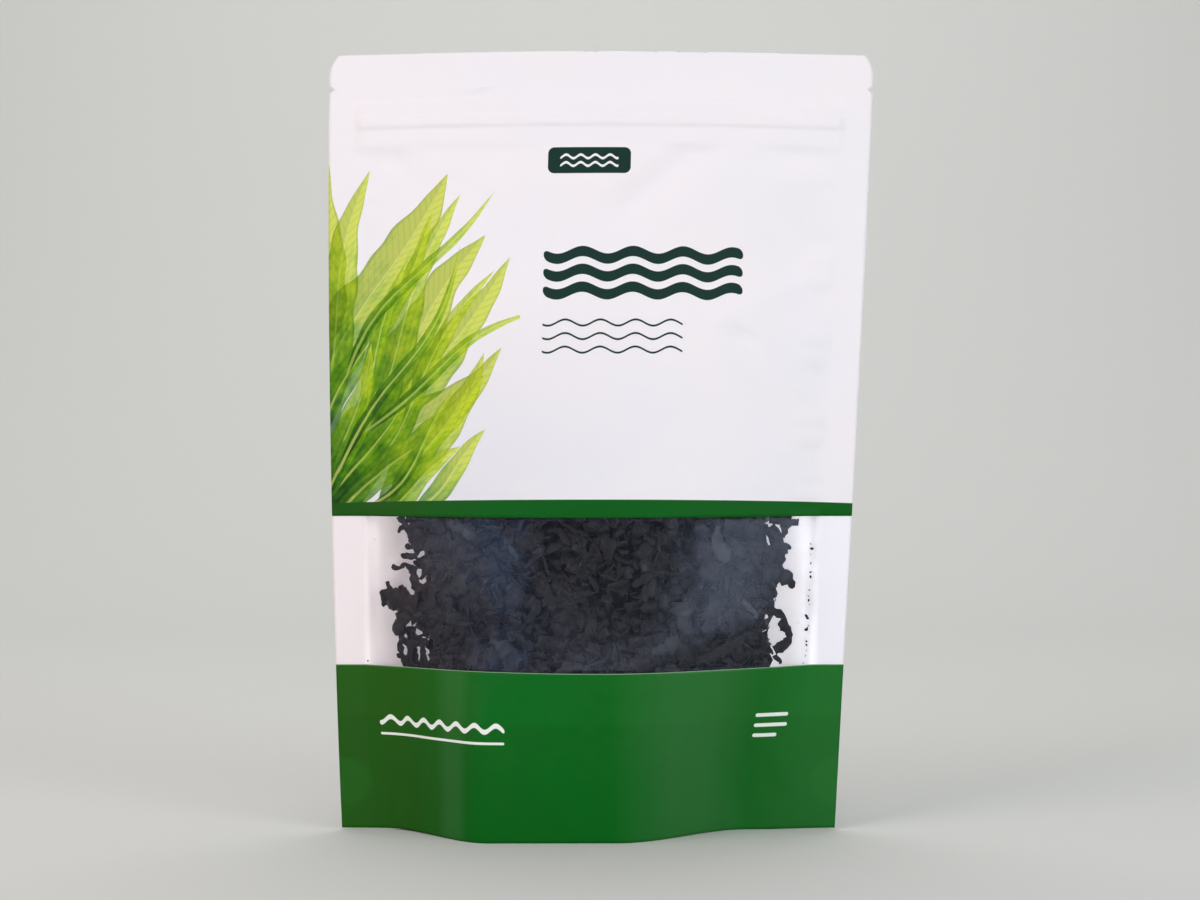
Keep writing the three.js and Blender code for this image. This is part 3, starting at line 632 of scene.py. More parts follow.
# The sealing side of the laminate: white ink under polythene, faintly waxy, with a painted warm tint of light to the
# left
def sealingFace(name):
    material, add = newMaterial(name)
    place = filmPlace(add)[0]
    across = add("SeparateXYZ", [add("TexCoord").outputs["Object"]])
    # painted light: the white is tinted warmer to the left and cooler to the right, as the lights fall
    paintedTint = add("MapRange", [across, -72 * mm, 60 * mm])
    colour = add("Mix", [paintedTint, "#F4EAE9", "#F2F0F4"], data_type="RGBA")
    reach = paintedGlow["reach"] * mm
    # painted light: an emission ramp across the width makes the face glow
    glowColour = add("ValToRGB", [add("MapRange", [across, -reach, reach])], paintedGlow["stops"])
    links = {"Base Color": colour, "Roughness": 0.5,
             "Normal": filmBump(add, place), "Specular IOR Level": 0.15,
             "IOR": 1.51, "Emission Color": glowColour, "Emission Strength": paintedGlow["strength"]}
    add("OutputMaterial", [add("BsdfPrincipled", links)])
    return material


# Unprinted polyester and polythene laminate. What isn't see-through is nearly all gloss, so the few per cent
# that alpha leaves are a bright sheen, broad because the film is slightly rippled
def clearLaminate(name):
    material, add = newMaterial(name)
    bump = filmBump(add, filmPlace(add)[0])
    links = {"Base Color": "#CFDBFF", "Metallic": 0.85, "Roughness": 0.27, "Normal": bump, "Alpha": 0.014}
    add("OutputMaterial", [add("BsdfPrincipled", links)])
    return material


# Extruded polythene, milky and waxy
def zipPolythene(name):
    material, add = newMaterial(name)
    clouds = add("TexNoise", [add("TexCoord").outputs["Object"], 400.0])
    colour = add("Mix", [clouds, "#E4E2E6", "#F0EEF0"], data_type="RGBA")
    add("OutputMaterial", [add("BsdfPrincipled", {"Base Color": colour, "Roughness": 0.34, "IOR": 1.51})])
    return material


# Dried seaweed: leathery and almost black. Thin dusty flakes look slate grey, and the rims get a painted highlight
def driedSeaweed(name):
    material, add = newMaterial(name)
    place = add("TexCoord").outputs["Object"]
    tone, rim = (add("Attribute", attribute_name=name).outputs["Fac"] for name in ("flakeTone", "flakeRimHighlight"))
    dusty = add("Math", [add("TexNoise", [place, 260.0, 3.0]), 0.5, tone], operation="MULTIPLY_ADD")
    shades = [(0.1, "#050406"), (0.35, "#080709"), (0.54, "#0E0D10"), (0.64, "#17191B"), (0.85, "#373D40")]
    colour = add("ValToRGB", [add("Math", [dusty, 0.5], operation="MULTIPLY")], shades)
    # painted highlight: the rims of the flakes are mixed lighter
    colour = add("Mix", [add("MapRange", [rim, 0.72, 1.0, 0.0, 0.35]), colour, "#3C3A3E"], data_type="RGBA")
    wrinkles = add("TexNoise", [place, 1100.0, 3.0, 0.55])  # shrunken skin, just under a millimetre
    bump = add("Bump", {"Strength": 0.35, "Distance": 0.3 * mm, "Height": wrinkles})
    shine = add("MapRange", [add("TexNoise", [place, 500.0]), 0.3, 0.7, 0.36, 0.6])
    links = {"Base Color": colour, "Roughness": shine, "Normal": bump, "IOR": 1.45, "Specular IOR Level": 0.3}
    add("OutputMaterial", [add("BsdfPrincipled", links)])
    return material


whiteFilm = printedLaminate("printedLaminate")
frondFilm = printedLaminate("printedLaminateFronds", fronds=True)
backPrint = printedLaminate("printedLaminateBack", back=True)
innerFace = sealingFace("sealingFace")
greenFilm = greenLaminate("greenLaminate")
clearFilm = clearLaminate("clearLaminate")
zipMaterial = zipPolythene("zipPolythene")
seaweed = driedSeaweed("driedSeaweed")
print("materials ready")

# Panels of film. The back one has the sealing face on its inner side
windowBottom, windowTop, top = printLines["windowBottom"], printLines["windowTop"], pouch["height"]
upper, lower = levelsBetween(windowTop, top), levelsBetween(0, windowBottom)
middle = levelsBetween(windowBottom, windowTop)
frontUpper, flatX = filmPiece("frontFilmUpper", upper, frontFilmY, [whiteFilm, frondFilm])
frontUpper.data.polygons.foreach_set("material_index", (flatX[:-1, 1:] < frondsEnd).astype(np.int32).ravel())
frontWindow = filmPiece("frontWindow", middle, frontFilmY, [clearFilm], thickness=filmSheet["clear"])[0]
frontLower = filmPiece("frontFilmLower", lower, frontFilmY, [greenFilm])[0]
backWeb = filmPiece("backFilm", levelsBetween(0, top), backFilmY, [backPrint, innerFace], turned=True)[0]
backWeb.modifiers["filmWall"].material_offset = 1
print("film panels ready")


def skirtTop(x):
    reach = np.abs(x - centreAt(0))
    return gusset["skirt"] + (gusset["height"] - gusset["skirt"]) * smooth(*gusset["skirtRises"], reach)


def foldLevel(x):
    return skirtTop(x) * smooth(*gusset["foldRises"], np.abs(x - centreAt(0)))


# The gusset runs up inside the front panel, across as a membrane, and down inside the back panel
def gussetGrid():
    u = np.linspace(-1, 1, 141)
    baseX = centreAt(0) + u * halfWidthAt(0)
    topLevel, fold = skirtTop(baseX), foldLevel(baseX)
    climb = smooth(*gusset["foldRises"], np.abs(baseX - centreAt(0)))
    settled = mix(gusset["flat"], 1.0, climb)
    tuck = filmSheet["thickness"] + gusset["tuck"]  # the gusset's own wall takes a part of this

    def skirt(side, z):
        x = centreAt(z) + u * halfWidthAt(z)
        front, back = frontFilmY(x, z), backFilmY(x, z)
        middle = (front + back) / 2
        if side < 0:
            return x, np.minimum(front + tuck, middle - gusset["apart"])
        return x, np.maximum(back - tuck, middle + gusset["apart"])

    rim = gusset["rim"] + pouch["rimLift"] * smooth(pouch["rimLiftFrom"], pouch["baseHalf"], np.abs(baseX))
    halves = []
    middle = (skirt(-1, topLevel)[1] + skirt(1, topLevel)[1]) / 2
    for side in (-1, 1):
        rows = []
        for t in np.linspace(0, 1, 26):
            z = mix(rim, topLevel, t)
            x, y = skirt(side, z)
            rows.append(np.stack([x, y, z], -1))
        start = rows[-1][:, 1]
        for q in np.linspace(0, 1, 19)[1:]:
            sink = 1 - smooth(0, 1, q / settled)
            z = mix(fold + 0.2, topLevel, sink)
            rows.append(np.stack([centreAt(z) + u * halfWidthAt(z), mix(start, middle, q), z], -1))
        halves.append(rows)
    return np.array(halves[0] + halves[1][-2::-1])


gussetPoints = gussetGrid()
gussetRows, gussetColumns = gussetPoints.shape[:2]
gussetUv = np.meshgrid(np.linspace(0.25, 0.75, gussetColumns), np.linspace(0.1, 0.35, gussetRows))
gussetFilm = gridPiece("bottomGusset", gussetPoints, np.stack(gussetUv, -1), False)
addWall(gussetFilm, gusset["wall"], 1)
gussetFilm.data.materials.append(greenFilm)
print("gusset ready")

# Zip: two extruded profiles, drawn fine enough to lie inside the film's ridge, as distances from the middle
# plane and from the zip's line
zipProfiles = {
    "zipJaws": [(-0.5, -6.3), (-0.36, -6.3), (-0.36, -1.3), (0.2, -1.3), (0.26, -0.55), (0.05, -0.5), (0.02, -0.95),
                (-0.3, -0.95), (-0.3, 0.95), (0.02, 0.95), (0.05, 0.5), (0.26, 0.55), (0.2, 1.3), (-0.36, 1.3),
                (-0.36, 6.0), (-0.5, 6.0)],
    "zipRib": [(0.5, 6.0), (0.36, 6.0), (0.36, 0.22), (-0.05, 0.22), (-0.05, 0.45), (-0.22, 0.2), (-0.22, -0.2),
               (-0.05, -0.45), (-0.05, -0.22), (0.36, -0.22), (0.36, -6.3), (0.5, -6.3)],
}


# A closed body from rings of points, the same number in each. Turned is for rings that run the other way about
def bodyFromRings(name, rings, material, turned):
    stations, n = rings.shape[:2]
    faces = [[i * n + j, i * n + (j + 1) % n, (i + 1) * n + (j + 1) % n, (i + 1) * n + j]
             for i in range(stations - 1) for j in range(n)]
    if turned:
        faces = [face[:1] + face[:0:-1] for face in faces]
    ends = [list(range(n)), [(stations - 1) * n + j for j in range(n)]]
    ends[int(turned)].reverse()
    mesh = meshFrom(name, rings, faces + ends)
    mesh.materials.append(material)
    return inScene(name, mesh)


def zipPiece(name, section):
    section = np.array(section)
    reach = halfWidthAt(zipLock["line"]) - pouch["seal"] - zipLock["endGap"]
    x = (centreAt(zipLock["line"]) + np.linspace(-reach, reach, 81))[:, None] + np.zeros(len(section))
    z = zipLock["line"] + section[:, 1] + np.zeros_like(x)
    return bodyFromRings(name, np.stack([x, section[:, 0] + bowAt(x, z), z], -1), zipMaterial, False)


zipPieces = {name: zipPiece(name, section) for name, section in zipProfiles.items()}
print("zip ready")

# Filling: sheets that follow the panels at several depths carry the flakes, over a dark inner heap.
# The ends of the heap are ragged: each is a list of level and distance from the middle
heap = {
    "height": 137.0, "drop": 15.0, "from": -66, "to": 60, "inset": 1.6, "underTop": 1.5, "overFoot": 2.5,
    "clear": 0.1, "press": 0.5,
    "leftEnd": [(4, -57), (40, -61), (55, -58), (60, -56.8), (64, -57.5), (69, -61), (76, -61.5), (80, -60),
                (84, -59.5), (91, -61.5), (97, -62.2), (103, -63.5), (112, -63), (140, -48)],
    "rightEnd": [(4, 52), (40, 57), (54, 55), (58, 56), (62, 57), (66, 55), (70, 55), (74, 57), (80, 58.5), (86, 58),
                 (90, 57), (93, 58.5), (97, 57.5), (101, 55), (104, 57.5), (112, 57), (140, 44)],
}
innerCore = {
    "from": -58.0, "to": 54.0, "above": 4, "below": 3, "inset": 4.0, "depth": 5.5, "stations": 48, "rows": 34,
}
# Sheets of flakes under the film: side (-1 at the front), levels and depth in millimetres, density per square
# metre, size as a scale, tilt in radians and seed
layerFields = ("side", "levels", "depth", "density", "size", "tilt", "seed")
flakeLayers = {
    "flakesAtWindow": [(-1, (46, 113), 1.1, 48000, (0.65, 1.15), 0.3, 3),
                       (-1, (46, 113), 2.6, 70000, (0.7, 1.2), 0.6, 4)],
    "flakesDeeper": [(-1, (46, 113), 4.4, 90000, (0.8, 1.3), 0.9, 5),
                     (-1, (9, 46), 2.0, 50000, (1.0, 1.6), 0.5, 6),
                     (-1, (113, 137), 2.0, 60000, (1.0, 1.6), 0.5, 7)],
    "flakesBehind": [(1, (9, 137), 2.2, 55000, (1.0, 1.6), 0.5, 8)],
}
# Kinds of flake in millimetres and radians: each is a ribbon with a ragged outline
flakeKinds = {
    "wedge": {"count": 8, "length": (6, 11), "width": (3.4, 6.4), "curl": 0.9, "cup": 0.4, "twist": 0.6,
              "crinkle": 0.2, "sections": 6},
    "strip": {"count": 4, "length": (8, 13), "width": (1.8, 3.0), "curl": 1.9, "cup": 0.6, "twist": 1.4,
              "crinkle": 0.2, "sections": 7},
    "crumple": {"count": 5, "length": (4, 8), "width": (3.0, 4.6), "curl": 2.6, "cup": 0.8, "twist": 1.2,
                "crinkle": 0.4, "sections": 6},
    "thread": {"count": 1, "length": (7, 11), "width": (0.6, 0.9), "curl": 3.4, "cup": 0.0, "twist": 1.0,
               "crinkle": 0.3, "sections": 8},
}
flakeThickness, flakeDents = 0.2, 1.0
# How the single flakes below are drawn: wider than listed, with an uneven and straying outline
singleForm = {
    "thickness": 0.4, "step": 0.5, "wider": 0.75, "uneven": 0.45, "stray": 0.3, "wrinkle": 0.3, "dents": 0.16,
    "deeper": 0.3, "nearest": 0.06,
}
# Flakes that stand out at the window: depth, tone, cup, then x, z and width along the flake
singleFlakes = [
    (1.4, 0.2, 0.2, [(-64.2, 100.6, 0.7), (-66, 100.4, 0.8), (-66.8, 99.5, 0.8), (-66.7, 98.6, 0.5)]),
    (0.9, 0.1, 0.3, [(-66.6, 104.2, 1.2), (-65, 102, 1.3), (-63.6, 99.8, 1.3), (-62.3, 98, 1.6)]),
    (0.8, 0.2, 0.3, [(-64.5, 94.7, 0.4), (-64, 94.3, 1.1), (-62.6, 94, 1), (-60, 94.2, 1.6)]),
    (0.7, 0.1, 0.3, [(-65.4, 92, 0.3), (-65, 91, 1.2), (-63.4, 91.1, 1), (-60.2, 91.4, 1.8)]),
    (0.6, 0.2, 0.2, [(-69, 87.9, 0.5), (-67.6, 87.3, 0.9), (-66.2, 87.2, 0.8), (-64.8, 88.4, 0.7),
                     (-62.9, 87.7, 1), (-60.6, 86.2, 2)]),
    (0.8, 0.1, 0.3, [(-62.6, 88, 1.4), (-61.8, 86, 1.8), (-61.2, 83.4, 2), (-59.6, 79.4, 2.6)]),
    (0.5, 0.3, 0.7, [(-73.2, 79.2, 0.6), (-71.2, 78, 3.4), (-68.6, 77, 6), (-65.4, 76.2, 6.4), (-60, 75.4, 5)]),
    (1, 0.1, 0.5, [(-72.6, 74.6, 0.5), (-71, 75.6, 2.2), (-68.4, 76.2, 3.4), (-64, 76.4, 3.4)]),
    (0.9, 0.1, 0.4, [(-70.8, 82.6, 0.2), (-70.2, 80.9, 1.2), (-69.2, 79, 2.6), (-67, 77.4, 3.4)]),
    (1.5, 0.1, 0.4, [(-66.2, 81.4, 0.8), (-65.1, 79.4, 2.6), (-62.6, 76.6, 3.4)]),
    (0.4, 0.9, 0.6, [(-67.2, 64.8, 0.6), (-66.9, 67, 3.4), (-65.6, 69.6, 4.6), (-64, 72.6, 4.4),
                     (-61.5, 75.6, 3)]),
    (1.2, 0.2, 0.3, [(-63.6, 67.4, 1.2), (-65.9, 64.6, 1.1), (-66.2, 61.6, 1.3), (-65.6, 58.8, 1.2),
                     (-64.2, 55, 1.5)]),
    (1, 0.1, 0.3, [(-65.9, 64.4, 1.2), (-63.4, 62.5, 1.8), (-60.6, 62.4, 1.6), (-56.5, 63.8, 2.2)]),
    (1.4, 0.1, 0.3, [(-63.4, 63.2, 1.6), (-62.8, 60, 1.2), (-63.2, 57.2, 1.5), (-61.8, 53.6, 2)]),
    (1.1, 0.2, 0.3, [(-61.4, 68.2, 1.6), (-61.6, 65.6, 1), (-58.8, 62.6, 1.3), (-58.4, 59.8, 1.2),
                     (-57.6, 54, 2.6)]),
    (0.7, 0.2, 0.3, [(-67.3, 58, 0.8), (-66.3, 58.2, 1.1), (-65.2, 57.4, 0.9), (-64.4, 56, 0.9),
                     (-64.2, 53, 1.2)]),
    (0.7, 0.2, 0.4, [(55.5, 103.4, 1.6), (60.2, 102.5, 1.6), (62.8, 102, 1.1), (64.4, 102.1, 1.2),
                     (65.5, 102, 2)]),
    (0.9, 0.3, 0.5, [(60.4, 97, 0.3), (60.8, 99.4, 1.6), (61, 102.2, 3.4), (60.4, 105.4, 5)]),
    (0.8, 0.1, 0.3, [(56.5, 94.6, 1.8), (60.6, 94.4, 1.1), (62, 94, 0.9), (62.7, 93.2, 0.4)]),
    (1, 0.1, 0.3, [(59, 94.2, 1), (61, 93, 0.9), (61.1, 91.7, 0.4)]),
    (1.3, 0.2, 0.3, [(56, 99.4, 1.6), (58.6, 97, 1.7), (59.6, 94, 1.4), (59.4, 89.6, 1.8), (57.5, 86, 2.4)]),
    (0.5, 0.6, 0.5, [(63.8, 80.5, 0.4), (62.4, 82.6, 2.6), (60, 84.6, 4.6), (56.4, 85.4, 5.5), (53, 85, 5)]),
    (1.2, 0.2, 0.3, [(54.5, 73.6, 1.8), (58.9, 72, 2.2), (60.2, 69.8, 2.1), (60, 66.4, 1.8)]),
    (0.7, 0.4, 0.5, [(58.6, 69.6, 1.4), (61, 67.6, 2), (62, 64.8, 2.2), (60.8, 62.2, 2.4), (57, 60, 3.2)]),
    (0.6, 0.2, 0.2, [(57.2, 58.6, 0.7), (57.9, 57.2, 0.8), (58.8, 56.7, 0.8), (59.3, 55.5, 0.4)]),
    (2.6, 0.5, 0.4, [(55.5, 100.5, 3), (57.6, 97.5, 3.4), (57.6, 93.5, 3), (57, 88.5, 4)]),
    (2.8, 0.3, 0.4, [(-62.6, 68, 2.4), (-62.4, 63, 2.8), (-61.6, 58, 3.2), (-60.6, 54, 3.2)]),
    (0.35, 1.15, 0.3, [(-49.4, 102.2, 2.2), (-46.5, 100.8, 2.7), (-43.6, 99, 2.6), (-40.7, 97.4, 2)]),
    (0.3, 1.35, 0.5, [(38.3, 101.4, 0.4), (37.7, 98, 2.2), (38.4, 94.4, 3.4), (40.2, 91.4, 3.8),
                      (41.2, 89.6, 2.8)]),
    (0.35, 1.2, 0.4, [(16.4, 61.2, 0.8), (19.4, 62.4, 3.4), (22.6, 63.6, 5.4), (25.2, 64.6, 5.8)]),
    (0.4, 1.2, 0.5, [(25.8, 67.6, 0.5), (26, 71, 3.4), (26.1, 74.4, 6), (26.1, 77, 4.6)]),
    (0.4, 0.8, 0.4, [(-19.8, 87, 0.6), (-18.4, 83.6, 1.8), (-16.8, 79.4, 2.7), (-15.6, 75.6, 3),
                     (-15.4, 74, 2)]),
    (0.5, 0.8, 0.4, [(-20.2, 78.2, 1), (-20.8, 75.6, 1.9), (-22.2, 72.6, 2), (-23.4, 70.8, 1.2)]),
    (0.6, 0.85, 0.2, [(-30.4, 78.4, 4.2), (-27.6, 78.2, 4.8), (-24.8, 78, 4)]),
    (0.5, 1.1, 0.4, [(-35.6, 64.8, 1.2), (-32.6, 62.8, 4.2), (-30, 60.4, 5.8), (-28.6, 57.4, 4)]),
    (0.5, 0.7, 0.3, [(-15, 77.8, 1), (-10, 78.8, 1.3), (-5.5, 80, 1), (-2.9, 80.4, 0.5)]),
    (0.6, 0.6, 0.3, [(-16, 75.6, 0.8), (-11, 76.8, 1.2), (-4.5, 78.2, 0.7)]),
    (0.4, 0.9, 0.4, [(10, 82.2, 0.7), (13.2, 84, 2), (16.2, 85.6, 1.9), (18.4, 86.2, 0.6)]),
    (0.5, 0.85, 0.4, [(13.4, 77.2, 0.4), (14.6, 79.8, 2.6), (16, 82.2, 2.4), (17, 84.8, 0.6)]),
    (0.5, 1, 0.2, [(12.8, 88.4, 2.4), (14.4, 88.6, 3.2), (15.9, 88.6, 2.6)]),
    (0.5, 1.25, 0.4, [(46, 77, 0.8), (48.4, 74.6, 1.4), (50.6, 72.6, 1.2), (50, 70.8, 0.7)]),
    (0.6, 1.05, 0.4, [(-10.6, 95.6, 1.2), (-7.8, 94.8, 2.2), (-5, 93.6, 1.4)]),
    (0.6, 0.95, 0.4, [(30, 57.6, 2), (36, 59.6, 3.4), (42, 62.4, 3.2), (47, 65, 1.5)]),
    (0.6, 1.05, 0.4, [(-31.5, 97.8, 1), (-29.6, 94.6, 1.4), (-27.4, 92.2, 1), (-27.2, 90, 0.5)]),
    (0.5, 0.9, 0.4, [(31.5, 87.4, 3), (34.2, 86, 3.8), (36.6, 84.6, 2.6)]),
]
# Dust, most of it caught near the right seal: x, z and size, drawn larger by a scale so that it shows
speckForm = {"scale": 1.5, "thickness": 0.12, "depth": 0.06, "slender": 0.36}
specks = [
    (69.5, 94.9, 0.45), (69.9, 93.3, 0.95), (69.5, 91.3, 0.3), (69.6, 88.4, 0.5), (69.5, 85.5, 0.6),
    (69.5, 84.0, 0.75), (69.1, 79.6, 0.45), (68.7, 77.6, 0.4), (68.9, 76.2, 0.7), (69.3, 74.7, 0.35),
    (68.1, 71.0, 0.95), (68.5, 70.2, 0.8), (68.9, 67.8, 0.4), (68.0, 66.5, 0.95), (68.4, 67.1, 0.5),
    (68.1, 62.6, 0.6), (68.1, 61.4, 0.65), (68.1, 59.6, 0.3), (67.8, 57.8, 0.4), (67.0, 55.4, 0.4),
    (65.3, 69.0, 0.25), (-77.4, 56.0, 0.45), (-75.0, 96.3, 0.3), (-72.5, 66.0, 0.2),
]


def heapTopAt(x):
    s = (2 * np.asarray(x, float) - heap["from"] - heap["to"]) / (heap["to"] - heap["from"])
    return heap["height"] - heap["drop"] * np.clip(s * s, 0, 1)


def heapSheetY(x, z, side, depth):
    front, back = frontFilmY(x, z), backFilmY(x, z)
    room = np.maximum((back - front) / 2 - depth, 0.05)
    return (front + back) / 2 + side * room


# A flat flake: at each station one row of points across the upper face, then one across the lower
def ribbonMesh(name, rings, rimHighlights, tone=None):
    rings = np.asarray(rings, float)
    stations, n = rings.shape[0], rings.shape[2]
    index = np.arange(stations * 2 * n).reshape(stations, 2, n)
    faces = []
    for i in range(stations - 1):
        a, b = index[i], index[i + 1]
        for j in range(n - 1):
            faces.append([a[0, j], b[0, j], b[0, j + 1], a[0, j + 1]])
            faces.append([a[1, j + 1], b[1, j + 1], b[1, j], a[1, j]])
        faces.append([a[0, 0], a[1, 0], b[1, 0], b[0, 0]])
        faces.append([b[0, -1], b[1, -1], a[1, -1], a[0, -1]])
    for j in range(n - 1):
        first, last = index[0], index[-1]
        faces.append([first[0, j], first[0, j + 1], first[1, j + 1], first[1, j]])
        faces.append([last[1, j], last[1, j + 1], last[0, j + 1], last[0, j]])
    mesh = meshFrom(name, rings, [[int(v) for v in face] for face in faces])
    # each point's share of the painted rim highlight
    values = np.tile(np.asarray(rimHighlights, float), stations * 2)
    mesh.attributes.new("flakeRimHighlight", "FLOAT", "POINT").data.foreach_set("value", values)
    if tone is not None:
        mesh.attributes.new("flakeTone", "FLOAT", "POINT").data.foreach_set("value", np.full(len(values), tone))
        mesh.polygons.foreach_set("use_smooth", np.ones(len(faces), bool))
    return mesh


def flakeShape(name, kind, draw):
    sections = kind["sections"]
    length, width = draw.uniform(*kind["length"]), draw.uniform(*kind["width"])
    curl, cup, twist = (draw.uniform(-1, 1) * kind[key] for key in ("curl", "cup", "twist"))
    angle, cx, cz = -curl / 2, -length / 2, 0.0
    rings = []
    for i in range(sections):
        t = i / (sections - 1)
        swell = math.sin(math.pi * min(max(t, 0.05), 0.95)) ** 0.7
        breadth = width * (0.2 + 0.8 * swell) * draw.uniform(0.65, 1.3)
        shift, roll = draw.uniform(-0.22, 0.22) * width, twist * (t - 0.5)
        upper = []
        for j in (-1, 0, 1):
            across = j * breadth / 2 + shift
            lift = cup * abs(j) * breadth / 2 + draw.uniform(-1, 1) * kind["crinkle"]
            y = across * math.cos(roll) - lift * math.sin(roll)
            z = across * math.sin(roll) + lift * math.cos(roll)
            upper.append((cx, y, cz + z + flakeThickness / 2))
        rings.append([upper, [(x, y, z - flakeThickness) for x, y, z in upper]])
        angle += curl / sections
        cx += math.cos(angle) * length / sections
        cz += math.sin(angle) * length / sections
    return bpy.data.objects.new(name, ribbonMesh(name, rings, (1, 0, 1)))


def flakeCollection():
    draw = np.random.default_rng(91)
    kinds = bpy.data.collections.new("flakeKinds")
    bpy.context.scene.collection.children.link(kinds)
    shapes = [(name, kind) for name, kind in flakeKinds.items() for _ in range(kind["count"])]
    for i in draw.permutation(len(shapes)):
        name, kind = shapes[i]
        kinds.objects.link(flakeShape(f"{name}{len(kinds.objects):02d}", kind, draw))
    return kinds


# Scatters flakes on a sheet: Density per square metre, Smallest and Largest as scales, Tilt in radians
def scatterTree():
    tree = bpy.data.node_groups.new("flakeScatter", "GeometryNodeTree")
    sockets = [("Sheet", "Geometry"), ("Kinds", "Collection"), ("Density", "Float"), ("Seed", "Int"),
               ("Smallest", "Float"), ("Largest", "Float"), ("Tilt", "Float"), ("Crumple", "Float"),
               ("Finish", "Material")]
    for label, kind in sockets:
        tree.interface.new_socket(label, in_out="INPUT", socket_type="NodeSocket" + kind)
    tree.interface.new_socket("Flakes", in_out="OUTPUT", socket_type="NodeSocketGeometry")
    add = partial(addNode, tree)
    g = add("NodeGroupInput").outputs
    sown = {"Mesh": g["Sheet"], "Density": g["Density"], "Seed": g["Seed"]}
    points = add("GeometryNodeDistributePointsOnFaces", sown).outputs
    apart = {"Collection": g["Kinds"], "Separate Children": True, "Reset Children": True}
    kinds = add("GeometryNodeCollectionInfo", apart)
    down = add("Math", [g["Tilt"], -1.0], operation="MULTIPLY")
    low = add("CombineXYZ", [down, down, 0.0])
    high = add("CombineXYZ", [g["Tilt"], g["Tilt"], 2 * math.pi])
    turns = {"Min": low, "Max": high, "Seed": g["Seed"]}
    turn = add("FunctionNodeRandomValue", turns, data_type="FLOAT_VECTOR")
    facing = add("FunctionNodeRotateRotation", [points["Rotation"], add("FunctionNodeEulerToRotation", [turn])],
                 rotation_space="LOCAL")
    scales = {"Min": g["Smallest"], "Max": g["Largest"], "Seed": g["Seed"]}
    size = add("FunctionNodeRandomValue", scales, data_type="FLOAT")
    laid = {"Points": points["Points"], "Instance": kinds, "Pick Instance": True, "Rotation": facing,
            "Scale": size}
    placed = add("GeometryNodeInstanceOnPoints", laid)
    tone = add("FunctionNodeRandomValue", {"Min": 0.0, "Max": 1.0, "Seed": 17}, data_type="FLOAT")
    marked = add("GeometryNodeStoreNamedAttribute", {"Geometry": placed, "Name": "flakeTone", "Value": tone},
                 data_type="FLOAT", domain="INSTANCE")
    dents = add("TexNoise", {"Scale": 420.0, "Detail": 1.0}).outputs["Color"]
    centred = add("VectorMath", [dents, (0.5, 0.5, 0.5)], operation="SUBTRACT")
    push = add("VectorMath", [centred, g["Crumple"]], operation="SCALE")
    realized = add("GeometryNodeRealizeInstances", [marked])
    crumpled = add("GeometryNodeSetPosition", {"Geometry": realized, "Offset": push})
    soft = add("GeometryNodeSetShadeSmooth", {"Geometry": crumpled, "Shade Smooth": True})
    add("NodeGroupOutput", [add("GeometryNodeSetMaterial", {"Geometry": soft, "Material": g["Finish"]})])
    return tree


def setInputs(modifier, values):
    for item in modifier.node_group.interface.items_tree:
        if item.item_type == "SOCKET" and item.in_out == "INPUT" and item.name in values:
            modifier[item.identifier] = values[item.name]


def heapSheet(layer):
    low, high = layer["levels"]
    u, z = np.meshgrid(np.linspace(0, 1, 64), np.linspace(low, high, 40))
    left = curveThrough(heap["leftEnd"], z) + heap["inset"]
    right = curveThrough(heap["rightEnd"], z) - heap["inset"]
    x = mix(left, right, u)
    z = np.minimum(z, heapTopAt(x) - heap["underTop"])
    z = np.maximum(z, np.maximum(skirtTop(x), foldLevel(x)) + heap["overFoot"])
    points = np.stack([x, heapSheetY(x, z, layer["side"], layer["depth"]), z], -1)
    return gridPiece("heapSheet", points, np.zeros(points.shape[:2] + (2,)), layer["side"] > 0)


def joined(name, meshes, material):
    pieces = [inScene(name, mesh) for mesh in meshes]
    if len(pieces) > 1:
        with bpy.context.temp_override(active_object=pieces[0], selected_editable_objects=pieces):
            bpy.ops.object.join()
    pieces[0].data.materials.clear()
    pieces[0].data.materials.append(material)
    pieces[0].data.name = name
    return pieces[0]


flakeShapes = flakeCollection()
scatter = scatterTree()


def scatterOn(sheet, layer):
    modifier = sheet.modifiers.new("scatter", "NODES")
    modifier.node_group = scatter
    setInputs(modifier, {"Kinds": flakeShapes, "Density": float(layer["density"]), "Seed": layer["seed"],
                         "Smallest": layer["size"][0], "Largest": layer["size"][1], "Tilt": layer["tilt"],
                         "Crumple": flakeDents * mm, "Finish": seaweed})
    bpy.context.view_layer.update()
    evaluated = sheet.evaluated_get(bpy.context.evaluated_depsgraph_get())
    mesh = bpy.data.meshes.new_from_object(evaluated)
    bpy.data.objects.remove(sheet)
    return mesh


# The films press the outer flakes flat: a point's distance from a film is squeezed, never lost
def keepInside(mesh):
    points = np.empty(len(mesh.vertices) * 3, np.float32)
    mesh.vertices.foreach_get("co", points)
    points = points.reshape(-1, 3).astype(float) / mm
    x, z = points[:, 0], np.clip(points[:, 2], 1, 200)
    front, back = frontFilmY(x, z), backFilmY(x, z)
    wall, press = filmSheet["thickness"] + heap["clear"], heap["press"]
    half = np.maximum((back - front) / 2 - wall, 0.02)
    off = points[:, 1] - (front + back) / 2
    squeezed = half - press * np.log1p(np.exp(np.clip((half - np.abs(off)) / press, -40, 40)))
    points[:, 1] = (front + back) / 2 + np.sign(off) * np.clip(squeezed, 0, half)
    mesh.vertices.foreach_set("co", (points * mm).astype(np.float32).ravel())
    mesh.update()


def innerFaceY(x, z):
    return frontFilmY(x, z) + filmSheet["thickness"]


# The upper face of a flake at the window, and the lower one a thickness behind it
def slabMesh(name, px, py, pz, thickness, rimHighlights, tone):
    rings = np.stack([np.stack([px, py, pz], -1), np.stack([px, py + thickness, pz], -1)], 1)
    return ribbonMesh(name, rings, rimHighlights, tone)


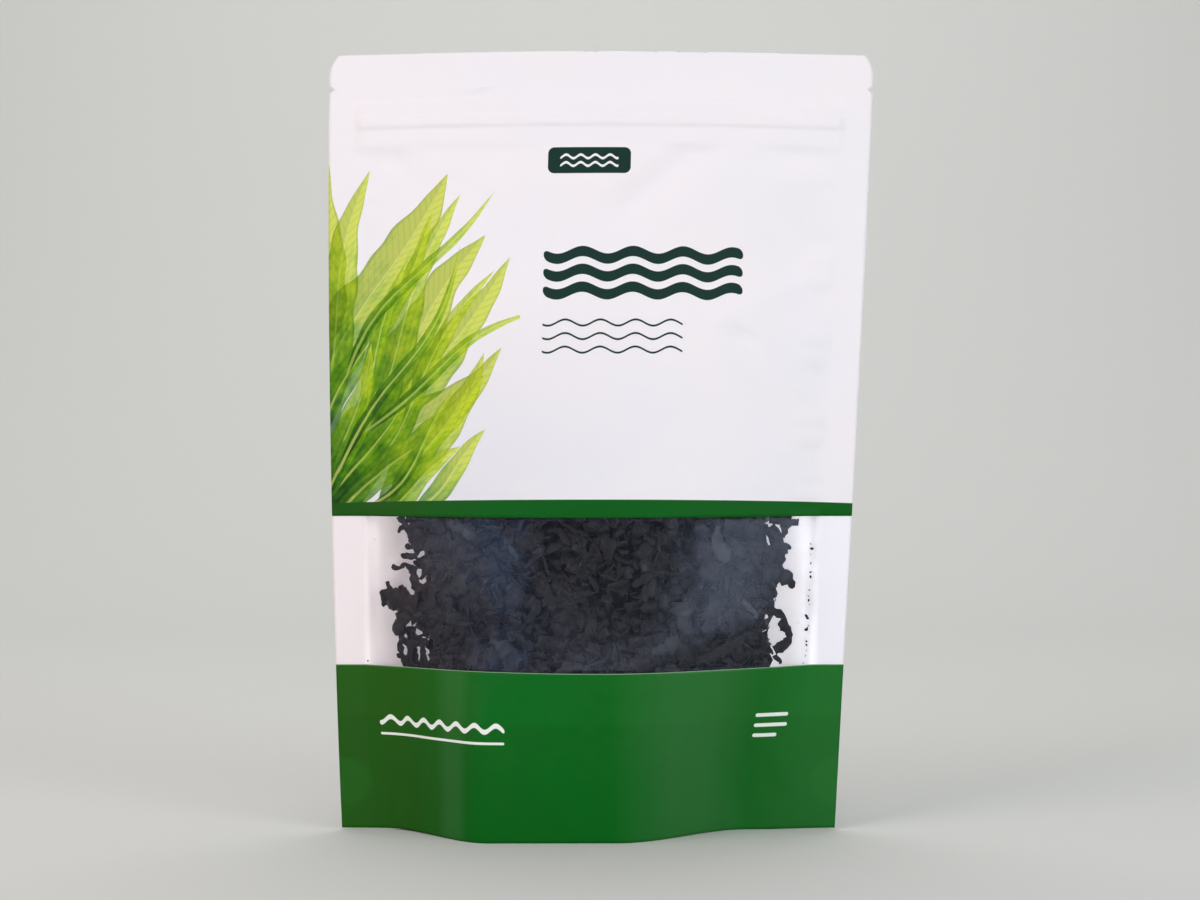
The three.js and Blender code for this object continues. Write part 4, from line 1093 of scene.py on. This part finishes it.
def singleFlake(i, depth, tone, cup, stations):
    form = singleForm
    draw = np.random.default_rng(700 + i)
    stations = np.array(stations, float)
    lengths = np.concatenate([[0], np.cumsum(np.hypot(*np.diff(stations[:, :2], axis=0).T))])
    steps = np.linspace(0, lengths[-1], max(int(lengths[-1] / form["step"]), 7))
    x, z, width = (curveThrough(list(zip(lengths, stations[:, k])), steps)[:, None] for k in range(3))
    tx, tz = np.gradient(x, axis=0), np.gradient(z, axis=0)
    reach = np.hypot(tx, tz)
    j = np.linspace(-1, 1, 5)[None, :]
    uneven, stray = (np.convolve(draw.uniform(-most, most, len(x) + 2), (0.25, 0.5, 0.25), "valid")[:, None]
                     for most in (form["uneven"], form["stray"]))
    width = (np.maximum(width, 0.15) + form["wider"]) * (1 + uneven)
    across = j * width / 2 + stray + draw.uniform(-0.05, 0.05, (len(x), 5))
    px, pz = x + tz / reach * across, z - tx / reach * across
    dents = draw.uniform(-form["dents"], form["dents"], px.shape)
    wrinkle = form["wrinkle"] * np.sin(np.arange(len(x))[:, None] * 0.9 + i) + dents
    lift = cup * width / 4 * (1 - j * j) + wrinkle
    py = innerFaceY(px, pz) + np.maximum(depth + form["deeper"] - lift * 0.6, form["nearest"])
    return slabMesh("singleFlake", px, py, pz, form["thickness"], (1, 0.4, 0, 0.4, 1), tone)


def speckMesh(i, x, z, size):
    size = size * speckForm["scale"]
    spin = np.random.default_rng(40 + i).uniform(0, math.pi)
    t, share = np.array([[-0.5], [0], [0.5]]), np.array([[0.4], [1], [0.3]])
    j = np.array([[-1, 0, 1]]) * size * speckForm["slender"] * share
    px = x + math.cos(spin) * t * size + math.sin(spin) * j
    pz = z + math.sin(spin) * t * size - math.cos(spin) * j
    py = innerFaceY(px, pz) + speckForm["depth"]
    return slabMesh("speck", px, py, pz, speckForm["thickness"], (0.3, 0, 0.3), 0.1)


flakePieces = []
for name, rows in flakeLayers.items():
    layers = [dict(zip(layerFields, row)) for row in rows]
    meshes = [scatterOn(heapSheet(layer), layer) for layer in layers]
    for mesh in meshes:
        keepInside(mesh)
    flakePieces.append(joined(name, meshes, seaweed))
    print(name, len(flakePieces[-1].data.polygons), "faces")
singles = [singleFlake(i, *flake) for i, flake in enumerate(singleFlakes)]
singles += [speckMesh(i, *speck) for i, speck in enumerate(specks)]
flakePieces.append(joined("singleFlakes", singles, seaweed))


# The hidden inner heap, rough and dark, that the flakes lie on
def innerHeap():
    form, rings = innerCore, []
    for t in np.linspace(0, 1, form["stations"]):
        xMiddle = mix(form["from"], form["to"], t)
        low = float(max(skirtTop(xMiddle), foldLevel(xMiddle))) + form["above"]
        high = float(heapTopAt(xMiddle)) - form["below"]
        z = mix(low, high, 0.5 - 0.5 * np.cos(np.linspace(0, 1, form["rows"]) * math.pi))
        left = curveThrough(heap["leftEnd"], z) + form["inset"]
        right = curveThrough(heap["rightEnd"], z) - form["inset"]
        x = mix(left, right, t)
        front, back = (heapSheetY(x, z, side, form["depth"]) for side in (-1, 1))
        middle = (front + back) / 2
        pinch = math.sqrt(max(1 - abs(2 * t - 1) ** 5, 0.001))
        rough = waves(x, z, 77, *filmWaves["heap"])
        near = np.stack([x, mix(middle, front, pinch) + rough, z], -1)
        far = np.stack([x, mix(middle, back, pinch) + 0.02 - rough, z], -1)
        rings.append(np.concatenate([near, far[-2:0:-1]]))
    return bodyFromRings("innerHeap", np.array(rings), seaweed, True)


core = innerHeap()
bpy.data.collections.remove(flakeShapes)
print("filling ready")

# Stage: a pale seamless floor that rises into a backdrop, in metres
backdrop = {"front": -5.0, "bend": 0.75, "radius": 0.9, "height": 2.4, "half": 5.0, "colour": "#DCDEDA"}


def stageFloor():
    profile = [(backdrop["front"], 0.0), (backdrop["bend"], 0.0)]
    for i in range(1, 25):
        angle = math.pi / 2 * i / 24
        away, rise = backdrop["radius"] * math.sin(angle), backdrop["radius"] * (1 - math.cos(angle))
        profile.append((backdrop["bend"] + away, rise))
    profile.append((backdrop["bend"] + backdrop["radius"], backdrop["height"]))
    points = [(x, y, z) for y, z in profile for x in (-backdrop["half"], backdrop["half"])]
    faces = [[2 * i, 2 * i + 1, 2 * i + 3, 2 * i + 2] for i in range(len(profile) - 1)]
    mesh = bpy.data.meshes.new("stageFloor")
    mesh.from_pydata(points, [], faces)
    mesh.polygons.foreach_set("use_smooth", np.ones(len(faces), bool))
    material, add = newMaterial("palePaper")
    add("OutputMaterial", [add("BsdfPrincipled", {"Base Color": backdrop["colour"], "Roughness": 0.85})])
    mesh.materials.append(material)
    return inScene("stageFloor", mesh)


stageFloor()

# Soft studio light: place, what it points at and size in metres, power in watts, colour
softLights = {
    "pinkLeft": ((-1.05, -0.8, 1.15), (0, 0, 0.14), (0.9, 0.8), 6.2, (1.0, 0.855, 0.83)),
    "warmLow": ((-1.1, -0.3, 0.26), (0, 0, 0.06), (0.5, 0.2), 0.95, (1.0, 0.5, 0.25)),
    "paleLeft": ((-1.0, -0.75, 0.42), (0, 0, 0.1), (0.35, 0.5), 1.5, (1.0, 0.88, 0.85)),
    "coolStrip": ((-0.76, -0.98, 0.5), (0, 0, 0.12), (0.07, 0.8), 1.7, (0.45, 0.7, 1.0)),
    "coolRight": ((1.05, -0.85, 0.42), (0, 0, 0.1), (0.6, 0.8), 6.45, (0.88, 0.93, 0.98)),
    "frontTop": ((0.15, -1.2, 1.6), (0, 0, 0.12), (1.0, 0.6), 3.2, (1, 0.975, 0.97)),
    "lowFront": ((0.1, -1.3, 0.08), (0, 0, 0.08), (1.2, 0.16), 2.6, (1, 0.96, 0.95)),
    "topSoft": ((0, 0.1, 1.5), (0, 0, 0.1), (1.4, 1.0), 3.25, (1, 0.99, 0.99)),
    "backWash": ((0, 0.7, 1.5), (0, 1.3, 0.3), (1.8, 0.6), 9, (1, 1, 1)),
}
for name, (place, target, size, power, colour) in softLights.items():
    lamp = bpy.data.lights.new(name, "AREA")
    lamp.shape, (lamp.size, lamp.size_y) = "RECTANGLE", size
    lamp.energy, lamp.color = power, colour
    holder = inScene(name, lamp)
    holder.location = place
    holder.rotation_euler = (Vector(target) - holder.location).to_track_quat("-Z", "Y").to_euler()

studioAir = {"Color": (0.97, 0.96, 0.98, 1), "Strength": 0.2}
world = bpy.data.worlds.new("studioAir")
world.use_nodes = True
for name, value in studioAir.items():
    world.node_tree.nodes["Background"].inputs[name].default_value = value
bpy.context.scene.world = world
bpy.context.scene.view_settings.view_transform = "Standard"

# Camera: level, at half the pouch's height, as the photo was taken
camera = {"x": -0.31, "back": 700.0, "height": 126.0, "lens": 63.2, "sensor": 36}
cameraData = bpy.data.cameras.new("photoView")
cameraData.lens, cameraData.sensor_width, cameraData.clip_end = camera["lens"], camera["sensor"], 20
photoView = inScene("photoView", cameraData)
photoView.location = (camera["x"] * mm, -camera["back"] * mm, camera["height"] * mm)
photoView.rotation_euler = (math.pi / 2, 0, 0)
bpy.context.scene.camera = photoView
print("stage, light and camera ready")

# What each piece stands for, and the finish listed for it
standsFor = [
    (frontUpper, "film_white", ["front_film_white", "front_film_band"]),
    (frontWindow, "film_clear", ["front_film_window"]),
    (frontLower, "film_green", ["front_film_green"]),
    (backWeb, "film_white", ["back_film"]),
    (gussetFilm, "film_green", ["bottom_gusset"]),
    (zipPieces["zipJaws"], "zip_plastic", ["zip_front"]),
    (zipPieces["zipRib"], "zip_plastic", ["zip_back"]),
    *((piece, "dried_wakame", ["wakame_flakes"]) for piece in (core, *flakePieces)),
]
for piece, slot, nodes in standsFor:
    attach(piece, "root")
    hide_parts(*nodes)
